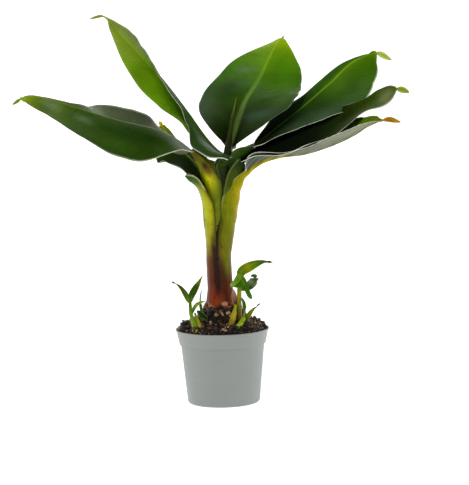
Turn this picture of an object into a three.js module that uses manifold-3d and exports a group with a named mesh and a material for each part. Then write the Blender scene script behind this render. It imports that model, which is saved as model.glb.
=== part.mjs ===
// Young banana plant in a small round nursery pot, with two clumps of side shoots.
// Millimetres, +Z up. The origin is the centre of the pot's flat underside.
import * as THREE from 'three';
import { mergeVertices } from 'three/addons/utils/BufferGeometryUtils.js';
import Module from 'manifold-3d';

const wasm = await Module();
wasm.setup();

// Clear gap kept between two pieces that touch on the plant.
const CLEARANCE = 0.3;

// Pot: a thin tapered wall under a wider rim band.
const POT_HEIGHT = 47.5;
const POT_FOOT_RADIUS = 22.6;
const POT_FOOT_CHAMFER = 1.1;
const POT_NECK_RADIUS = 26.7;
const POT_BAND_RADIUS = 27.5;
const POT_RIM_RADIUS = 30;
const POT_BAND_HEIGHT = 9.6;
const POT_LIP_HEIGHT = 1.2;
const POT_LIP_STEP = 0.7;
const POT_WALL = 1.1;
const POT_FLOOR = 1.3;
const POT_SEGMENTS = 56;

// Soil: heaped a little over the rim, with a mound that carries the stem.
const SOIL_EDGE_HEIGHT = 46.9;
const SOIL_SHOULDER_HEIGHT = 50.2;
const SOIL_SHOULDER_WIDTH = 4.5;
const MOUND_HEIGHT = 58;
const MOUND_FLAT_RADIUS = 11.4;
const MOUND_FOOT_RADIUS = 20;
const SOIL_LUMP_HEIGHT = 0.8;
const SOIL_SEGMENTS = 40;
const SOIL_TOP_RINGS = 9;
// Waves that make the lumps: radians a millimetre along X and Y, a phase, and a share of the height.
const SOIL_WAVES = [
  { alongX: 0.9, alongY: 1.1, phase: 0.4, share: 1 },
  { alongX: 1.7, alongY: -1.4, phase: 1.3, share: 0.6 },
];

// False stem of rolled leaf sheaths, by height above the pot's underside.
const STEM_FOOT = MOUND_HEIGHT + CLEARANCE;
const STEM_FORK = 128;
const STEM_DEPTH_SHARE = 0.9;
const STEM_SIDES = 28;
const STEM_LEVELS = [
  { height: STEM_FOOT, centre: 0, radius: 11.0 },
  { height: 62, centre: -0.4, radius: 10.3 },
  { height: 66, centre: -0.4, radius: 9.3 },
  { height: 73, centre: -0.6, radius: 8.1 },
  { height: 91, centre: -1.1, radius: 8.0 },
  { height: 103, centre: -0.8, radius: 8.1 },
  { height: 111, centre: -0.3, radius: 8.7 },
  { height: 119, centre: 0.5, radius: 9.5 },
  { height: STEM_FORK, centre: 1.4, radius: 11.2 },
];
const SHEATH_COUNT = 3;
const SHEATH_RELIEF = 0.035;
const SHEATH_TURN = THREE.MathUtils.degToRad(35);
const STEM_RINGS = 17;
const KNOB_COUNT = 7;
const KNOB_RADIUS = 2.1;
const KNOB_HEIGHT = 61.2;
const KNOB_CIRCLE = 9.6;
const KNOB_DETAIL = 1;
const KNOB_TURN = THREE.MathUtils.degToRad(15);

// Blade mesh: cells along the midrib and from the midrib to each margin.
const BLADE_STATIONS = 23;
const BLADE_CELLS = 5;
const BLADE_THICKNESS = 1.25;
const MIDRIB_THICKNESS = 2.2;
const BLADE_END_WIDTH = 0.9;
const EASE_WIDTH_SHARE = 0.25;
const CURL_POWER = 1.5;

// Limb mesh: a tapered stalk that is swept along its route.
const LIMB_STATIONS = 12;
const LIMB_SIDES = 12;
const LIMB_GROOVE = 0.22;
const GROOVE_HALF_ANGLE = THREE.MathUtils.degToRad(60);

// Each leaf: the stalk's route and radii, then the blade. A spine runs from the blade's base to its
// tip, whose last share is a narrow drip tip. Tilt lifts each half from the flat and curl bends it on
// towards its margin, in degrees at four places from base to tip. Left and right are as seen from the
// base, with the upper face up.
const LEAVES = {
  left: {
    stalk: [[-3.4, -3.4, STEM_FORK], [-4.8, -4.2, 138], [-7.4, -4.2, 147], [-11.4, -3.9, 155],
      [-15.9, -3.9, 161.4]],
    radii: [4, 3.9, 3, 2.2, 1.6],
    spine: [[-16.5, -4, 162], [-25.5, -6, 169], [-37, -10, 175.5], [-60.5, -17, 182.5], [-89, -24, 191.5],
      [-105.5, -27, 197], [-117.5, -29, 198.5], [-125.5, -30, 194]],
    halfWidth: 31.5, baseFullness: 0.34, tipFullness: 0.52, drip: 0.05,
    tiltLeft: [-14, -29, -32, -24], tiltRight: [-42, -37, 27, 10],
    curlLeft: [18, -43, 6, 0], curlRight: [112, 150, -62, 0],
  },
  upper_left: {
    stalk: [[0.6, -3.6, STEM_FORK], [0, -4, 138], [0.6, -3.4, 145], [3, -1.4, 150.4], [6.3, -0.1, 153.4]],
    radii: [3.8, 4, 3.6, 2.8, 1.8],
    spine: [[7, 0, 154], [-2.5, 2, 161], [-10.5, 5, 171], [-19, 9, 184], [-34, 17, 205], [-54.5, 27, 228],
      [-64.5, 31, 238.5], [-71.5, 34, 247], [-81, 36, 246]],
    halfWidth: 17.5, baseFullness: 0.42, tipFullness: 0.85, drip: 0.07,
    tiltLeft: [-20, -14, -34, 8], tiltRight: [120, 148, 108, 15],
    curlLeft: [0, 8, -36, 6], curlRight: [60, 40, 60, 65],
  },
  centre: {
    stalk: [[-1.4, 4.6, STEM_FORK], [0.6, 7, 140], [4.4, 9, 152], [7.7, 9.6, 161.8]],
    radii: [4.2, 3.6, 3, 2.2],
    spine: [[8, 9.8, 162.7], [14, 20, 181], [18, 28, 190], [28, 47, 205], [39.5, 68, 225.5], [45, 73, 232]],
    halfWidth: 30, baseFullness: 0.51, tipFullness: 0.61, drip: 0.02,
    tiltLeft: [49, 11, 6, -4], tiltRight: [14, 17, -20, -20],
    curlLeft: [16, -6, 3, -3], curlRight: [60, -100, 10, -30],
  },
  upper_right: {
    stalk: [[5.4, 3.8, STEM_FORK], [8.4, 4.2, 141], [13.6, 3.8, 152.5], [20.9, 3, 161.3]],
    radii: [3.8, 3.3, 2.7, 2],
    spine: [[21.5, 3, 162], [36.5, 7, 173.5], [52.5, 12, 185], [72.5, 18, 201], [88, 22, 214.5],
      [103, 26, 219.5], [113, 28, 215]],
    halfWidth: 26, baseFullness: 0.8, tipFullness: 0.52, drip: 0.12,
    tiltLeft: [-3, -3, 1, -7], tiltRight: [-20, -21, -46, -50],
    curlLeft: [-8, -5, -3, -4], curlRight: [0, 2, 0, -6],
  },
  right: {
    stalk: [[4.6, -4, STEM_FORK], [5.2, -4.2, 138], [6.6, -3.2, 145.5], [9.5, -2.2, 150.6]],
    radii: [3.6, 3.5, 3, 2.2],
    spine: [[10, -2, 151.5], [23.5, -3, 157], [42.5, -5, 165], [64.5, -7, 176], [83.5, -10, 185.5],
      [99, -13, 193], [113, -16, 197.5], [120, -17, 195.5]],
    halfWidth: 25, baseFullness: 0.34, tipFullness: 0.55, drip: 0.08,
    tiltLeft: [30, -17, 16, 22], tiltRight: [0, -11, -22, -38],
    curlLeft: [0, -20, 4, 9], curlRight: [10, 3, -9, -21],
  },
  lower_right: {
    stalk: [[9, -1.8, STEM_FORK], [12, -3.2, 138.5], [14.8, -4.8, 143.8], [17.6, -5.9, 146.9]],
    radii: [4.3, 3.6, 2.9, 2.2],
    spine: [[18.1, -6.1, 147.5], [26.5, -10, 153.5], [38.5, -16, 157.5], [53, -24, 159.5], [69, -33, 164.5],
      [83, -42, 171], [92.5, -47, 177], [102.5, -52, 180.5], [111, -55, 179]],
    halfWidth: 22, baseFullness: 0.71, tipFullness: 0.84, drip: 0.1,
    tiltLeft: [30, 21, 26, 31], tiltRight: [41, 12, 14, 23],
    curlLeft: [0, -6, 0, 7], curlRight: [-15, -15, -6, 2],
  },
  back_left: {
    stalk: [[-7, -1, STEM_FORK], [-8, -0.4, 134], [-9.1, 1.2, 139.8]],
    radii: [3.9, 3.7, 2.8],
    spine: [[-9.5, 1.5, 140.5], [-12, 6, 148], [-16, 12, 153.5], [-23, 24, 159.5], [-31.5, 36, 168.5],
      [-38.5, 47, 178]],
    halfWidth: 18.5, baseFullness: 0.34, tipFullness: 0.52, drip: 0.06,
    tiltLeft: [-10, -20, -44, -20], tiltRight: [-30, -50, -36, -13],
    curlLeft: [80, 42, 0, 0], curlRight: [0, 0, 9, 4],
  },
};

// The newest leaf, still rolled up: a slim spear that rises from the heart of the crown.
const ROLLED_LEAF = {
  points: [[2.4, 1.4, STEM_FORK], [3, 2.6, 140], [5.2, 4.4, 155], [8.6, 6, 176], [12.4, 8, 194]],
  radii: [2.3, 2.5, 2.7, 1.8, 0.35],
};

// Side shoots: plain stems that leave the soil, and the small leaves that they carry.
const SHOOT_STEMS = {
  shoot_left_stem: {
    points: [[-14.6, -20, 43], [-17.8, -18.6, 53.5], [-19.4, -17, 60], [-20, -16, 66]],
    radii: [1.5, 1.4, 1.3, 1.1],
  },
  shoot_left_bud: {
    points: [[-12.4, -19, 44], [-15.4, -17.5, 55], [-17, -16, 60]],
    radii: [1.7, 1.6, 0.8],
  },
  shoot_right_stem: {
    points: [[11, -12.5, 47], [11, -11, 63], [11.4, -10, 72.5], [11, -9.5, 80]],
    radii: [1.8, 1.6, 1.4, 1],
  },
  shoot_right_bud: {
    points: [[3.4, -19, 45], [7, -15.8, 56], [9, -13, 64]],
    radii: [2.1, 1.7, 1.1],
  },
  shoot_right_stub: {
    points: [[6, -22, 44], [11.2, -18.2, 52], [14, -16, 55.4]],
    radii: [1.8, 1.6, 1.3],
  },
};
const SHOOT_LEAVES = {
  shoot_left_leaf_outer: {
    spine: [[-20.4, -16.1, 67.2], [-22.4, -16.5, 72], [-25, -17, 76], [-27.8, -17.5, 78.6],
      [-31.2, -18, 80.4]],
    halfWidth: 2.6, tilt: -35,
  },
  shoot_left_leaf_inner: {
    spine: [[-19.1, -15.4, 67.4], [-18.2, -15, 71.5], [-16.2, -14, 75], [-14, -13, 78.5], [-11.6, -12, 83]],
    halfWidth: 2.8, tilt: 20,
  },
  shoot_left_leaf_thin: {
    spine: [[-18, -15.4, 61.5], [-16, -14.4, 64.2], [-13, -13, 66], [-10.4, -11.5, 66.4]],
    halfWidth: 1.2, tilt: 20,
  },
  shoot_left_leaf_low: {
    spine: [[-9.4, -14.4, 54.6], [-13, -14.2, 57.4], [-15.6, -14, 61]],
    halfWidth: 2.4, tilt: 20,
  },
  shoot_left_sliver: {
    spine: [[-12.6, -11.4, 58], [-13.4, -11, 66], [-12.6, -10.5, 73.6]],
    halfWidth: 0.9, tilt: 10,
  },
  shoot_right_leaf_long: {
    spine: [[11.2, -9.2, 81], [13.4, -8.5, 85], [17, -8, 87.4], [22, -7, 89.2], [27.5, -5.5, 90.1],
      [33.2, -4, 89.5]],
    halfWidth: 3.4, tilt: -45,
  },
  shoot_right_leaf_hanging: {
    spine: [[12.4, -10.5, 80], [14, -12, 77.3], [16.4, -12.6, 73.5], [18, -12.6, 70], [18.6, -12.4, 66.8]],
    halfWidth: 3.9, tilt: -15,
  },
  shoot_right_leaf_folded: {
    spine: [[10.6, -12, 77], [8, -13, 76.6], [4.8, -13.6, 75.6]],
    halfWidth: 3.2, tilt: -25,
  },
  shoot_right_leaf_curled: {
    spine: [[13.4, -8, 73], [17.5, -5.4, 74.3], [20.6, -3.5, 77], [21.6, -3, 79.6], [18.8, -2.5, 80.8]],
    halfWidth: 2.8, tilt: 25,
  },
  shoot_right_leaf_narrow: {
    spine: [[14.2, -15.2, 56.4], [14.6, -14.6, 61.5], [14, -13.6, 65.5], [12.8, -12.4, 68.4]],
    halfWidth: 1.2, tilt: 20,
  },
  shoot_right_leaf_low: {
    spine: [[15, -14, 54], [18.6, -13.2, 59], [21.4, -13, 62], [24.4, -13, 64.6]],
    halfWidth: 1.6, tilt: 25,
  },
  shoot_right_husk: {
    spine: [[8.6, -10.4, 61], [7.6, -11, 67], [8.6, -10.4, 72]],
    halfWidth: 1.9, tilt: -20,
  },
};
const SHOOT_STATIONS = 9;
const SHOOT_CELLS = 2;
const SHOOT_THICKNESS = 0.6;
const SHOOT_MIDRIB = 0.8;
const SHOOT_END_WIDTH = 0.5;
const SHOOT_FULLNESS = { base: 0.45, tip: 0.6 };
const SHOOT_STEM_SIDES = 10;
const SHOOT_STEM_STATIONS = 6;

const up = new THREE.Vector3(0, 0, 1);
const smooth = (x) => THREE.MathUtils.smoothstep(x, 0, 1);
const vector = ([x, y, z]) => new THREE.Vector3(x, y, z);

// Evenly spaced key values, with a smooth change from each to the next.
function keyed(values, place) {
  const x = THREE.MathUtils.clamp(place, 0, 1) * (values.length - 1);
  const k = Math.min(Math.floor(x), values.length - 2);
  return THREE.MathUtils.lerp(values[k], values[k + 1], smooth(x - k));
}

// Closed body through a row of rings, each ring counter-clockwise seen from the last one.
function loft(rings) {
  const count = rings[0].length;
  const last = (rings.length - 1) * count;
  const index = [];
  for (let ring = 0; ring < last; ring += count) {
    for (let k = 0; k < count; k++) {
      const a = ring + k;
      const b = ring + (k + 1) % count;
      index.push(a, b, a + count, b, b + count, a + count);
    }
  }
  for (let k = 0; k < count / 2 - 1; k++) {
    const [a, b, c, d] = [k, k + 1, count - 1 - k, count - 2 - k];
    index.push(a, c, b, b, c, d);
    index.push(last + a, last + b, last + c, last + b, last + d, last + c);
  }
  const geometry = new THREE.BufferGeometry();
  const positions = rings.flat().flatMap((point) => point.toArray());
  geometry.setAttribute('position', new THREE.Float32BufferAttribute(positions, 3));
  geometry.setIndex(index);
  return geometry;
}

// Route through control points, with its frame at a place: forward, to the right, and upward.
function route(points) {
  const curve = new THREE.CatmullRomCurve3(points.map(vector), false, 'centripetal');
  return (place) => {
    const forward = curve.getTangentAt(place);
    const right = forward.clone().cross(up).normalize();
    return { point: curve.getPointAt(place), forward, right, upward: right.clone().cross(forward) };
  };
}

// Half width of a blade at a place along its midrib. It narrows to nothing where the drip tip starts.
function halfWidthAt(leaf, place) {
  const peak = leaf.baseFullness / (leaf.baseFullness + leaf.tipFullness);
  const shape = (x) => x ** leaf.baseFullness * (1 - x) ** leaf.tipFullness;
  return leaf.halfWidth * shape(Math.min(place / (1 - leaf.drip), 1)) / shape(peak);
}

// Points and outward directions across one half of a blade, from the midrib to the margin.
function halfSection(frame, side, width, tilt, curl, cells) {
  const section = [];
  const point = frame.point.clone();
  for (let cell = 0; cell <= cells; cell++) {
    const angle = THREE.MathUtils.degToRad(tilt + curl * (cell / cells) ** CURL_POWER);
    const normal = frame.upward.clone().multiplyScalar(Math.cos(angle))
      .addScaledVector(frame.right, -side * Math.sin(angle));
    section.push({ point: point.clone(), normal });
    const middle = THREE.MathUtils.degToRad(tilt + curl * ((cell + 0.5) / cells) ** CURL_POWER);
    point.addScaledVector(frame.right, side * Math.cos(middle) * width / cells);
    point.addScaledVector(frame.upward, Math.sin(middle) * width / cells);
  }
  return section;
}

// Thin closed blade. grow swells it all round, for cutting a clear space in a neighbour.
function blade(leaf, grow = 0) {
  const at = route(leaf.spine);
  const rings = [];
  for (let station = 0; station < leaf.stations; station++) {
    const place = (1 - Math.cos(Math.PI * station / (leaf.stations - 1))) / 2;
    const frame = at(place);
    if (station === 0) frame.point.addScaledVector(frame.forward, -grow);
    if (station === leaf.stations - 1) frame.point.addScaledVector(frame.forward, grow);
    const width = Math.max(halfWidthAt(leaf, place), leaf.endWidth);
    const ease = smooth(width / (EASE_WIDTH_SHARE * leaf.halfWidth));
    const half = (side, tilt, curl) => halfSection(frame, side, width + grow,
      ease * keyed(tilt, place), ease * keyed(curl, place), leaf.cells);
    const left = half(-1, leaf.tiltLeft, leaf.curlLeft);
    const right = half(1, leaf.tiltRight, leaf.curlRight);
    const middle = left[0].normal.clone().add(right[0].normal).normalize();
    const across = [...left.slice(1).reverse(), { point: frame.point, normal: middle }, ...right.slice(1)];
    const offset = (entry, amount) => entry.point.clone().addScaledVector(entry.normal, amount);
    const top = across.map((entry) => offset(entry, leaf.thickness / 2 + grow));
    const bottom = across.map((entry, k) => {
      const rib = k === leaf.cells ? leaf.midrib - leaf.thickness : 0;
      return offset(entry, -leaf.thickness / 2 - rib - grow);
    });
    rings.push([...top, ...bottom.reverse()]);
  }
  return loft(rings);
}

// Tapered stalk with a shallow groove along its upper side. The groove lies on top at the stalk's far
// end and is carried down to its foot without a twist.
function limb({ points, radii, sides, stations }, grow = 0) {
  const at = route(points);
  const rings = [];
  let { right } = at(1);
  for (let station = stations - 1; station >= 0; station--) {
    const place = station / (stations - 1);
    const { point, forward } = at(place);
    if (station === 0) point.addScaledVector(forward, -grow);
    if (station === stations - 1) point.addScaledVector(forward, grow);
    right = right.clone().addScaledVector(forward, -right.dot(forward)).normalize();
    const upward = right.clone().cross(forward);
    const radius = keyed(radii, place);
    const ring = [];
    for (let side = 0; side < sides; side++) {
      const angle = 2 * Math.PI * side / sides;
      const fromTop = Math.min(angle, 2 * Math.PI - angle);
      const depth = 1 - LIMB_GROOVE * (1 - smooth(fromTop / GROOVE_HALF_ANGLE));
      const reach = radius * depth + grow;
      ring.push(point.clone()
        .addScaledVector(right, reach * Math.sin(angle))
        .addScaledVector(upward, reach * Math.cos(angle)));
    }
    rings.unshift(ring);
  }
  return loft(rings);
}

// Solid for joining and cutting.
function solid(geometry) {
  const bare = geometry.clone();
  bare.deleteAttribute('normal');
  bare.deleteAttribute('uv');
  const merged = mergeVertices(bare);
  return new wasm.Manifold(new wasm.Mesh({
    numProp: 3,
    vertProperties: new Float32Array(merged.attributes.position.array),
    triVerts: new Uint32Array(merged.index.array),
  }));
}

// Geometry of a solid's largest body, so that a scrap cut loose is dropped.
function largest(body) {
  const pieces = body.decompose().sort((a, b) => b.volume() - a.volume());
  const { vertProperties, triVerts } = pieces[0].getMesh();
  const geometry = new THREE.BufferGeometry();
  geometry.setAttribute('position', new THREE.Float32BufferAttribute(vertProperties, 3));
  geometry.setIndex(Array.from(triVerts));
  return geometry;
}

const plant = new THREE.Group();
const cutters = [];

function material(color, roughness) {
  return new THREE.MeshStandardMaterial({ color, roughness, metalness: 0, flatShading: true });
}

// Adds a sub-part as it is.
function add(name, geometry, finish) {
  const mesh = new THREE.Mesh(geometry, finish);
  mesh.name = name;
  plant.add(mesh);
}

// Adds a sub-part cut clear of every earlier one near it, and keeps its swollen form for the next.
function addClear(name, geometry, swollen, finish) {
  const body = cutters.reduce((rest, cutter) => rest.subtract(cutter), solid(geometry));
  add(name, largest(body), finish);
  cutters.push(solid(swollen));
}

function potGeometry() {
  const bandFoot = POT_HEIGHT - POT_BAND_HEIGHT;
  const lipFoot = POT_HEIGHT - POT_LIP_HEIGHT;
  const profile = [
    [0, 0],
    [POT_FOOT_RADIUS, 0],
    [POT_FOOT_RADIUS + POT_FOOT_CHAMFER / 2, POT_FOOT_CHAMFER],
    [POT_NECK_RADIUS, bandFoot],
    [POT_BAND_RADIUS, bandFoot],
    [POT_RIM_RADIUS - POT_LIP_STEP, lipFoot],
    [POT_RIM_RADIUS, lipFoot + POT_LIP_STEP / 2],
    [POT_RIM_RADIUS, POT_HEIGHT],
    [POT_RIM_RADIUS - POT_WALL, POT_HEIGHT],
    [POT_BAND_RADIUS - POT_WALL, bandFoot + POT_WALL],
    [POT_NECK_RADIUS - POT_WALL, bandFoot],
    [POT_FOOT_RADIUS - POT_WALL, POT_FLOOR],
    [0, POT_FLOOR],
  ];
  const points = profile.map(([radius, height]) => new THREE.Vector2(radius, height));
  return new THREE.LatheGeometry(points, POT_SEGMENTS).rotateX(Math.PI / 2);
}

// Inner radius of the pot at a height.
function potInnerRadius(height) {
  const bandFoot = POT_HEIGHT - POT_BAND_HEIGHT;
  const [low, high, from, to] = height < bandFoot
    ? [POT_FLOOR, bandFoot, POT_FOOT_RADIUS, POT_NECK_RADIUS]
    : [bandFoot + POT_WALL, POT_HEIGHT, POT_BAND_RADIUS, POT_RIM_RADIUS];
  return THREE.MathUtils.mapLinear(Math.max(height, low), low, high, from, to) - POT_WALL;
}

// Height of the soil's surface: a flat-topped mound, a shoulder, and a fall to the pot's wall.
function soilHeight(x, y) {
  const radius = Math.hypot(x, y);
  const mound = 1 - smooth((radius - MOUND_FLAT_RADIUS) / (MOUND_FOOT_RADIUS - MOUND_FLAT_RADIUS));
  const edge = potInnerRadius(SOIL_EDGE_HEIGHT);
  const rim = smooth((radius - edge + SOIL_SHOULDER_WIDTH) / SOIL_SHOULDER_WIDTH);
  const lumps = SOIL_WAVES.reduce((sum, wave) => (
    sum + wave.share * Math.sin(wave.alongX * x + wave.alongY * y + wave.phase)), 0);
  const base = THREE.MathUtils.lerp(SOIL_SHOULDER_HEIGHT, SOIL_EDGE_HEIGHT, rim);
  const rough = SOIL_LUMP_HEIGHT * lumps * (1 - rim) * (1 - mound);
  return THREE.MathUtils.lerp(base + rough, MOUND_HEIGHT, mound);
}

// Soil: it fills the pot, a clearance inside its floor and wall. grow lifts its upper face alone.
function soilGeometry(grow = 0) {
  const bandFoot = POT_HEIGHT - POT_BAND_HEIGHT;
  const bandFloor = bandFoot + POT_WALL;
  const walls = [POT_FLOOR + CLEARANCE, bandFoot - CLEARANCE / 2, bandFloor + CLEARANCE, SOIL_EDGE_HEIGHT];
  const edge = potInnerRadius(SOIL_EDGE_HEIGHT) - CLEARANCE;
  const ring = (radius, height) => Array.from({ length: SOIL_SEGMENTS }, (_, k) => {
    const angle = 2 * Math.PI * k / SOIL_SEGMENTS;
    const [x, y] = [radius * Math.cos(angle), radius * Math.sin(angle)];
    return new THREE.Vector3(x, y, height ?? soilHeight(x, y) + grow);
  });
  const rings = walls.map((height) => ring(potInnerRadius(height) - CLEARANCE, height));
  for (let step = 1; step < SOIL_TOP_RINGS; step++) {
    rings.push(ring(edge * (1 - step / SOIL_TOP_RINGS)));
  }
  return loft(rings);
}

// False stem: a tapering column with the soft lobes of its outer sheaths, and knobs round its foot.
// grow swells it all round, for cutting a clear space in a neighbour.
function stemGeometry(grow = 0) {
  const heights = STEM_LEVELS.map((level) => level.height);
  const at = (height) => {
    const k = Math.min(heights.filter((low) => low <= height).length, heights.length - 1);
    const [low, high] = [STEM_LEVELS[k - 1], STEM_LEVELS[k]];
    const share = smooth((height - low.height) / (high.height - low.height));
    return {
      centre: THREE.MathUtils.lerp(low.centre, high.centre, share),
      radius: THREE.MathUtils.lerp(low.radius, high.radius, share),
    };
  };
  const rings = [];
  for (let level = 0; level < STEM_RINGS; level++) {
    const share = level / (STEM_RINGS - 1);
    const height = THREE.MathUtils.lerp(STEM_FOOT, STEM_FORK - CLEARANCE, share);
    const { centre, radius } = at(height);
    const lift = grow * (2 * share - 1);
    const ring = [];
    for (let side = 0; side < STEM_SIDES; side++) {
      const angle = 2 * Math.PI * side / STEM_SIDES;
      const lobe = 1 + SHEATH_RELIEF * share * Math.cos(SHEATH_COUNT * (angle - SHEATH_TURN));
      ring.push(new THREE.Vector3(
        centre + (radius * lobe + grow) * Math.cos(angle),
        (radius * STEM_DEPTH_SHARE * lobe + grow) * Math.sin(angle),
        height + lift,
      ));
    }
    rings.push(ring);
  }
  let body = solid(loft(rings));
  for (let knob = 0; knob < KNOB_COUNT; knob++) {
    const angle = KNOB_TURN + 2 * Math.PI * knob / KNOB_COUNT;
    const across = KNOB_CIRCLE * Math.cos(angle);
    const along = KNOB_CIRCLE * STEM_DEPTH_SHARE * Math.sin(angle);
    const bump = new THREE.IcosahedronGeometry(KNOB_RADIUS + grow, KNOB_DETAIL)
      .translate(across, along, KNOB_HEIGHT);
    body = body.add(solid(bump));
  }
  return largest(body);
}

// A petiole and blade for each large leaf, cut clear of the leaves that lie before it.
function addLeaf(name, leaf, stalkFinish, bladeFinish) {
  const stalk = { points: leaf.stalk, radii: leaf.radii, sides: LIMB_SIDES, stations: LIMB_STATIONS };
  addClear(`petiole_${name}`, limb(stalk), limb(stalk, CLEARANCE), stalkFinish);
  const sheet = {
    ...leaf, stations: BLADE_STATIONS, cells: BLADE_CELLS,
    thickness: BLADE_THICKNESS, midrib: MIDRIB_THICKNESS, endWidth: BLADE_END_WIDTH,
  };
  addClear(`leaf_${name}`, blade(sheet), blade(sheet, CLEARANCE), bladeFinish);
}

function addShootStem(name, shoot, finish) {
  const stalk = { ...shoot, sides: SHOOT_STEM_SIDES, stations: SHOOT_STEM_STATIONS };
  addClear(name, limb(stalk), limb(stalk, CLEARANCE), finish);
}

function addShootLeaf(name, { spine, halfWidth, tilt }, finish) {
  const level = [0, 0];
  const sheet = {
    spine, halfWidth, baseFullness: SHOOT_FULLNESS.base, tipFullness: SHOOT_FULLNESS.tip, drip: 0,
    tiltLeft: [tilt, tilt], tiltRight: [tilt, tilt], curlLeft: level, curlRight: level,
    stations: SHOOT_STATIONS, cells: SHOOT_CELLS,
    thickness: SHOOT_THICKNESS, midrib: SHOOT_MIDRIB, endWidth: SHOOT_END_WIDTH,
  };
  addClear(name, blade(sheet), blade(sheet, CLEARANCE), finish);
}

add('pot', potGeometry(), material('#969b9b', 0.45));
add('soil', soilGeometry(), material('#2b1f16', 0.95));
cutters.push(solid(soilGeometry(CLEARANCE)));

const stemFinish = material('#7a4a1c', 0.4);
add('pseudostem', stemGeometry(), stemFinish);
cutters.push(solid(stemGeometry(CLEARANCE)));

const spear = { ...ROLLED_LEAF, sides: LIMB_SIDES, stations: LIMB_STATIONS };
addClear('rolled_leaf', limb(spear), limb(spear, CLEARANCE), material('#3a2f1d', 0.35));

const petioleFinish = material('#8c9a12', 0.35);
const bladeFinish = material('#2f5f14', 0.35);
for (const [name, leaf] of Object.entries(LEAVES)) addLeaf(name, leaf, petioleFinish, bladeFinish);

const shootStemFinish = material('#7f9a1a', 0.4);
const shootLeafFinish = material('#3f7f16', 0.4);
for (const [name, stalk] of Object.entries(SHOOT_STEMS)) addShootStem(name, stalk, shootStemFinish);
for (const [name, leaf] of Object.entries(SHOOT_LEAVES)) addShootLeaf(name, leaf, shootLeafFinish);

export default plant;
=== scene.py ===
"""Looks of a young banana plant in a small nursery pot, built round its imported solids.

Sizes and places are in millimetres, in the part's own frame. add_mesh turns them into metres.
"""

import math

import bpy
import numpy as np
from mathutils import Matrix, Vector


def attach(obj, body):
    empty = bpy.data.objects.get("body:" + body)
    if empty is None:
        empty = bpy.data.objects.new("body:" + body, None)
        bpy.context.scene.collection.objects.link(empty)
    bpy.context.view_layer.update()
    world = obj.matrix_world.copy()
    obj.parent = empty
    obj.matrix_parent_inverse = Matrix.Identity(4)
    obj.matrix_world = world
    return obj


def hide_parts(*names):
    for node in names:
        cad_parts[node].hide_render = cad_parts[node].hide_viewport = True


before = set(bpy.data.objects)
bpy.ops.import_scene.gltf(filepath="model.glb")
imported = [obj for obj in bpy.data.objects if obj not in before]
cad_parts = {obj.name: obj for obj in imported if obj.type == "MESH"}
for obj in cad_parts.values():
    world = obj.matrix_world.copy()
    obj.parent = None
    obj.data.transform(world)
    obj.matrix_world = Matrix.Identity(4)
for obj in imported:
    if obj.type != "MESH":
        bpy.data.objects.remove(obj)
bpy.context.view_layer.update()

MM = 0.001

# The photograph's camera: place, point looked at, roll, and focal length in pixels of its frame.
CAMERA_PLACE = (9.07, -1200.0, 235.9)
CAMERA_TARGET = (9.07, 0.0, 102.2)
CAMERA_ROLL = math.radians(-1.343)
FOCAL_PIXELS = 1898.3
FRAME_WIDTH = 469
SENSOR_WIDTH = 36.0

# Studio, in metres: a floor that bends up into a wall, and each lamp's name, place, size and power.
FLOOR_RADIUS = 1.9
FLOOR_BEND = 0.9
WALL_TOP = 2.8
BEND_STEPS = 14
FLOOR_SIDES = 96
LAMP_TARGET = (0, 0, 0.14)
LAMPS = [
    ("key", (-1.1, -1.0, 1.2), (0.5, 0.5), 7), ("top", (-0.45, 0.5, 1.5), (0.4, 0.3), 4),
    ("fill", (0.9, -1.2, 0.9), (0.8, 0.6), 3), ("side", (1.3, -0.2, 0.6), (0.3, 0.7), 2),
    ("back", (0.5, 1.0, 1.0), (0.6, 0.4), 2.5),
]

# Pot: a thin tapered wall under a wider rim band.
POT_HEIGHT = 47.5
POT_FOOT_RADIUS = 22.6
POT_NECK_RADIUS = 26.7
POT_BAND_RADIUS = 27.5
POT_RIM_RADIUS = 30.0
POT_BAND_FOOT = 37.9
POT_WALL = 1.1
POT_FLOOR = 1.3
POT_ROUND = 0.45
POT_SIDES = 224
POT_GREYS = ("#828784", "#8e928d")
POT_DUST_COLOUR = "#9a9d98"

# Soil: heaped a little over the rim, with a mound that carries the stem.
SOIL_EDGE_RADIUS = 28.4
SOIL_EDGE_HEIGHT = 46.9
SOIL_SHOULDER_HEIGHT = 50.2
SOIL_SHOULDER_WIDTH = 4.5
SOIL_GAP = 0.4
SOIL_COLOURS = ("#0e0906", "#2a1a10")
SOIL_ROWS = 70
SOIL_SIDES = 180
MOUND_HEIGHT = 58.0
MOUND_FLAT_RADIUS = 11.4
MOUND_FOOT_RADIUS = 20.0
HEAP_HEIGHT = 3.4
HEAP_RADIUS = 10.6
HEAP_SPREAD = 2.6

# Litter on the soil: name, count, size, proportions, darker and lighter colours, and lift as a share.
LITTER = [
    ("crumbs_dark", 800, 0.95, (1, 0.8, 0.7), "#080504", "#23150d", 0.3),
    ("crumbs_brown", 430, 0.8, (1, 0.75, 0.6), "#24130a", "#5c3a20", 0.45),
    ("crumbs_tan", 300, 0.62, (1.2, 0.7, 0.5), "#7a5434", "#d8b48c", 0.9),
    ("bark_chips", 120, 0.95, (1.5, 0.6, 0.28), "#3a2110", "#9a6c42", 0.6),
]
LITTER_INNER_RADIUS = 6.0
LITTER_OUTER_RADIUS = SOIL_EDGE_RADIUS - 0.5
FIBRE_COUNT = 260
FIBRE_SHAPE = (1.6, 0.13, 0.13)
FIBRE_LIFT = 0.8
FIBRE_COLOURS = ("#6a4a2c", "#c4a47a")
LITTER_ROUGHNESS = 0.6
LITTER_SEED = 11

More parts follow.
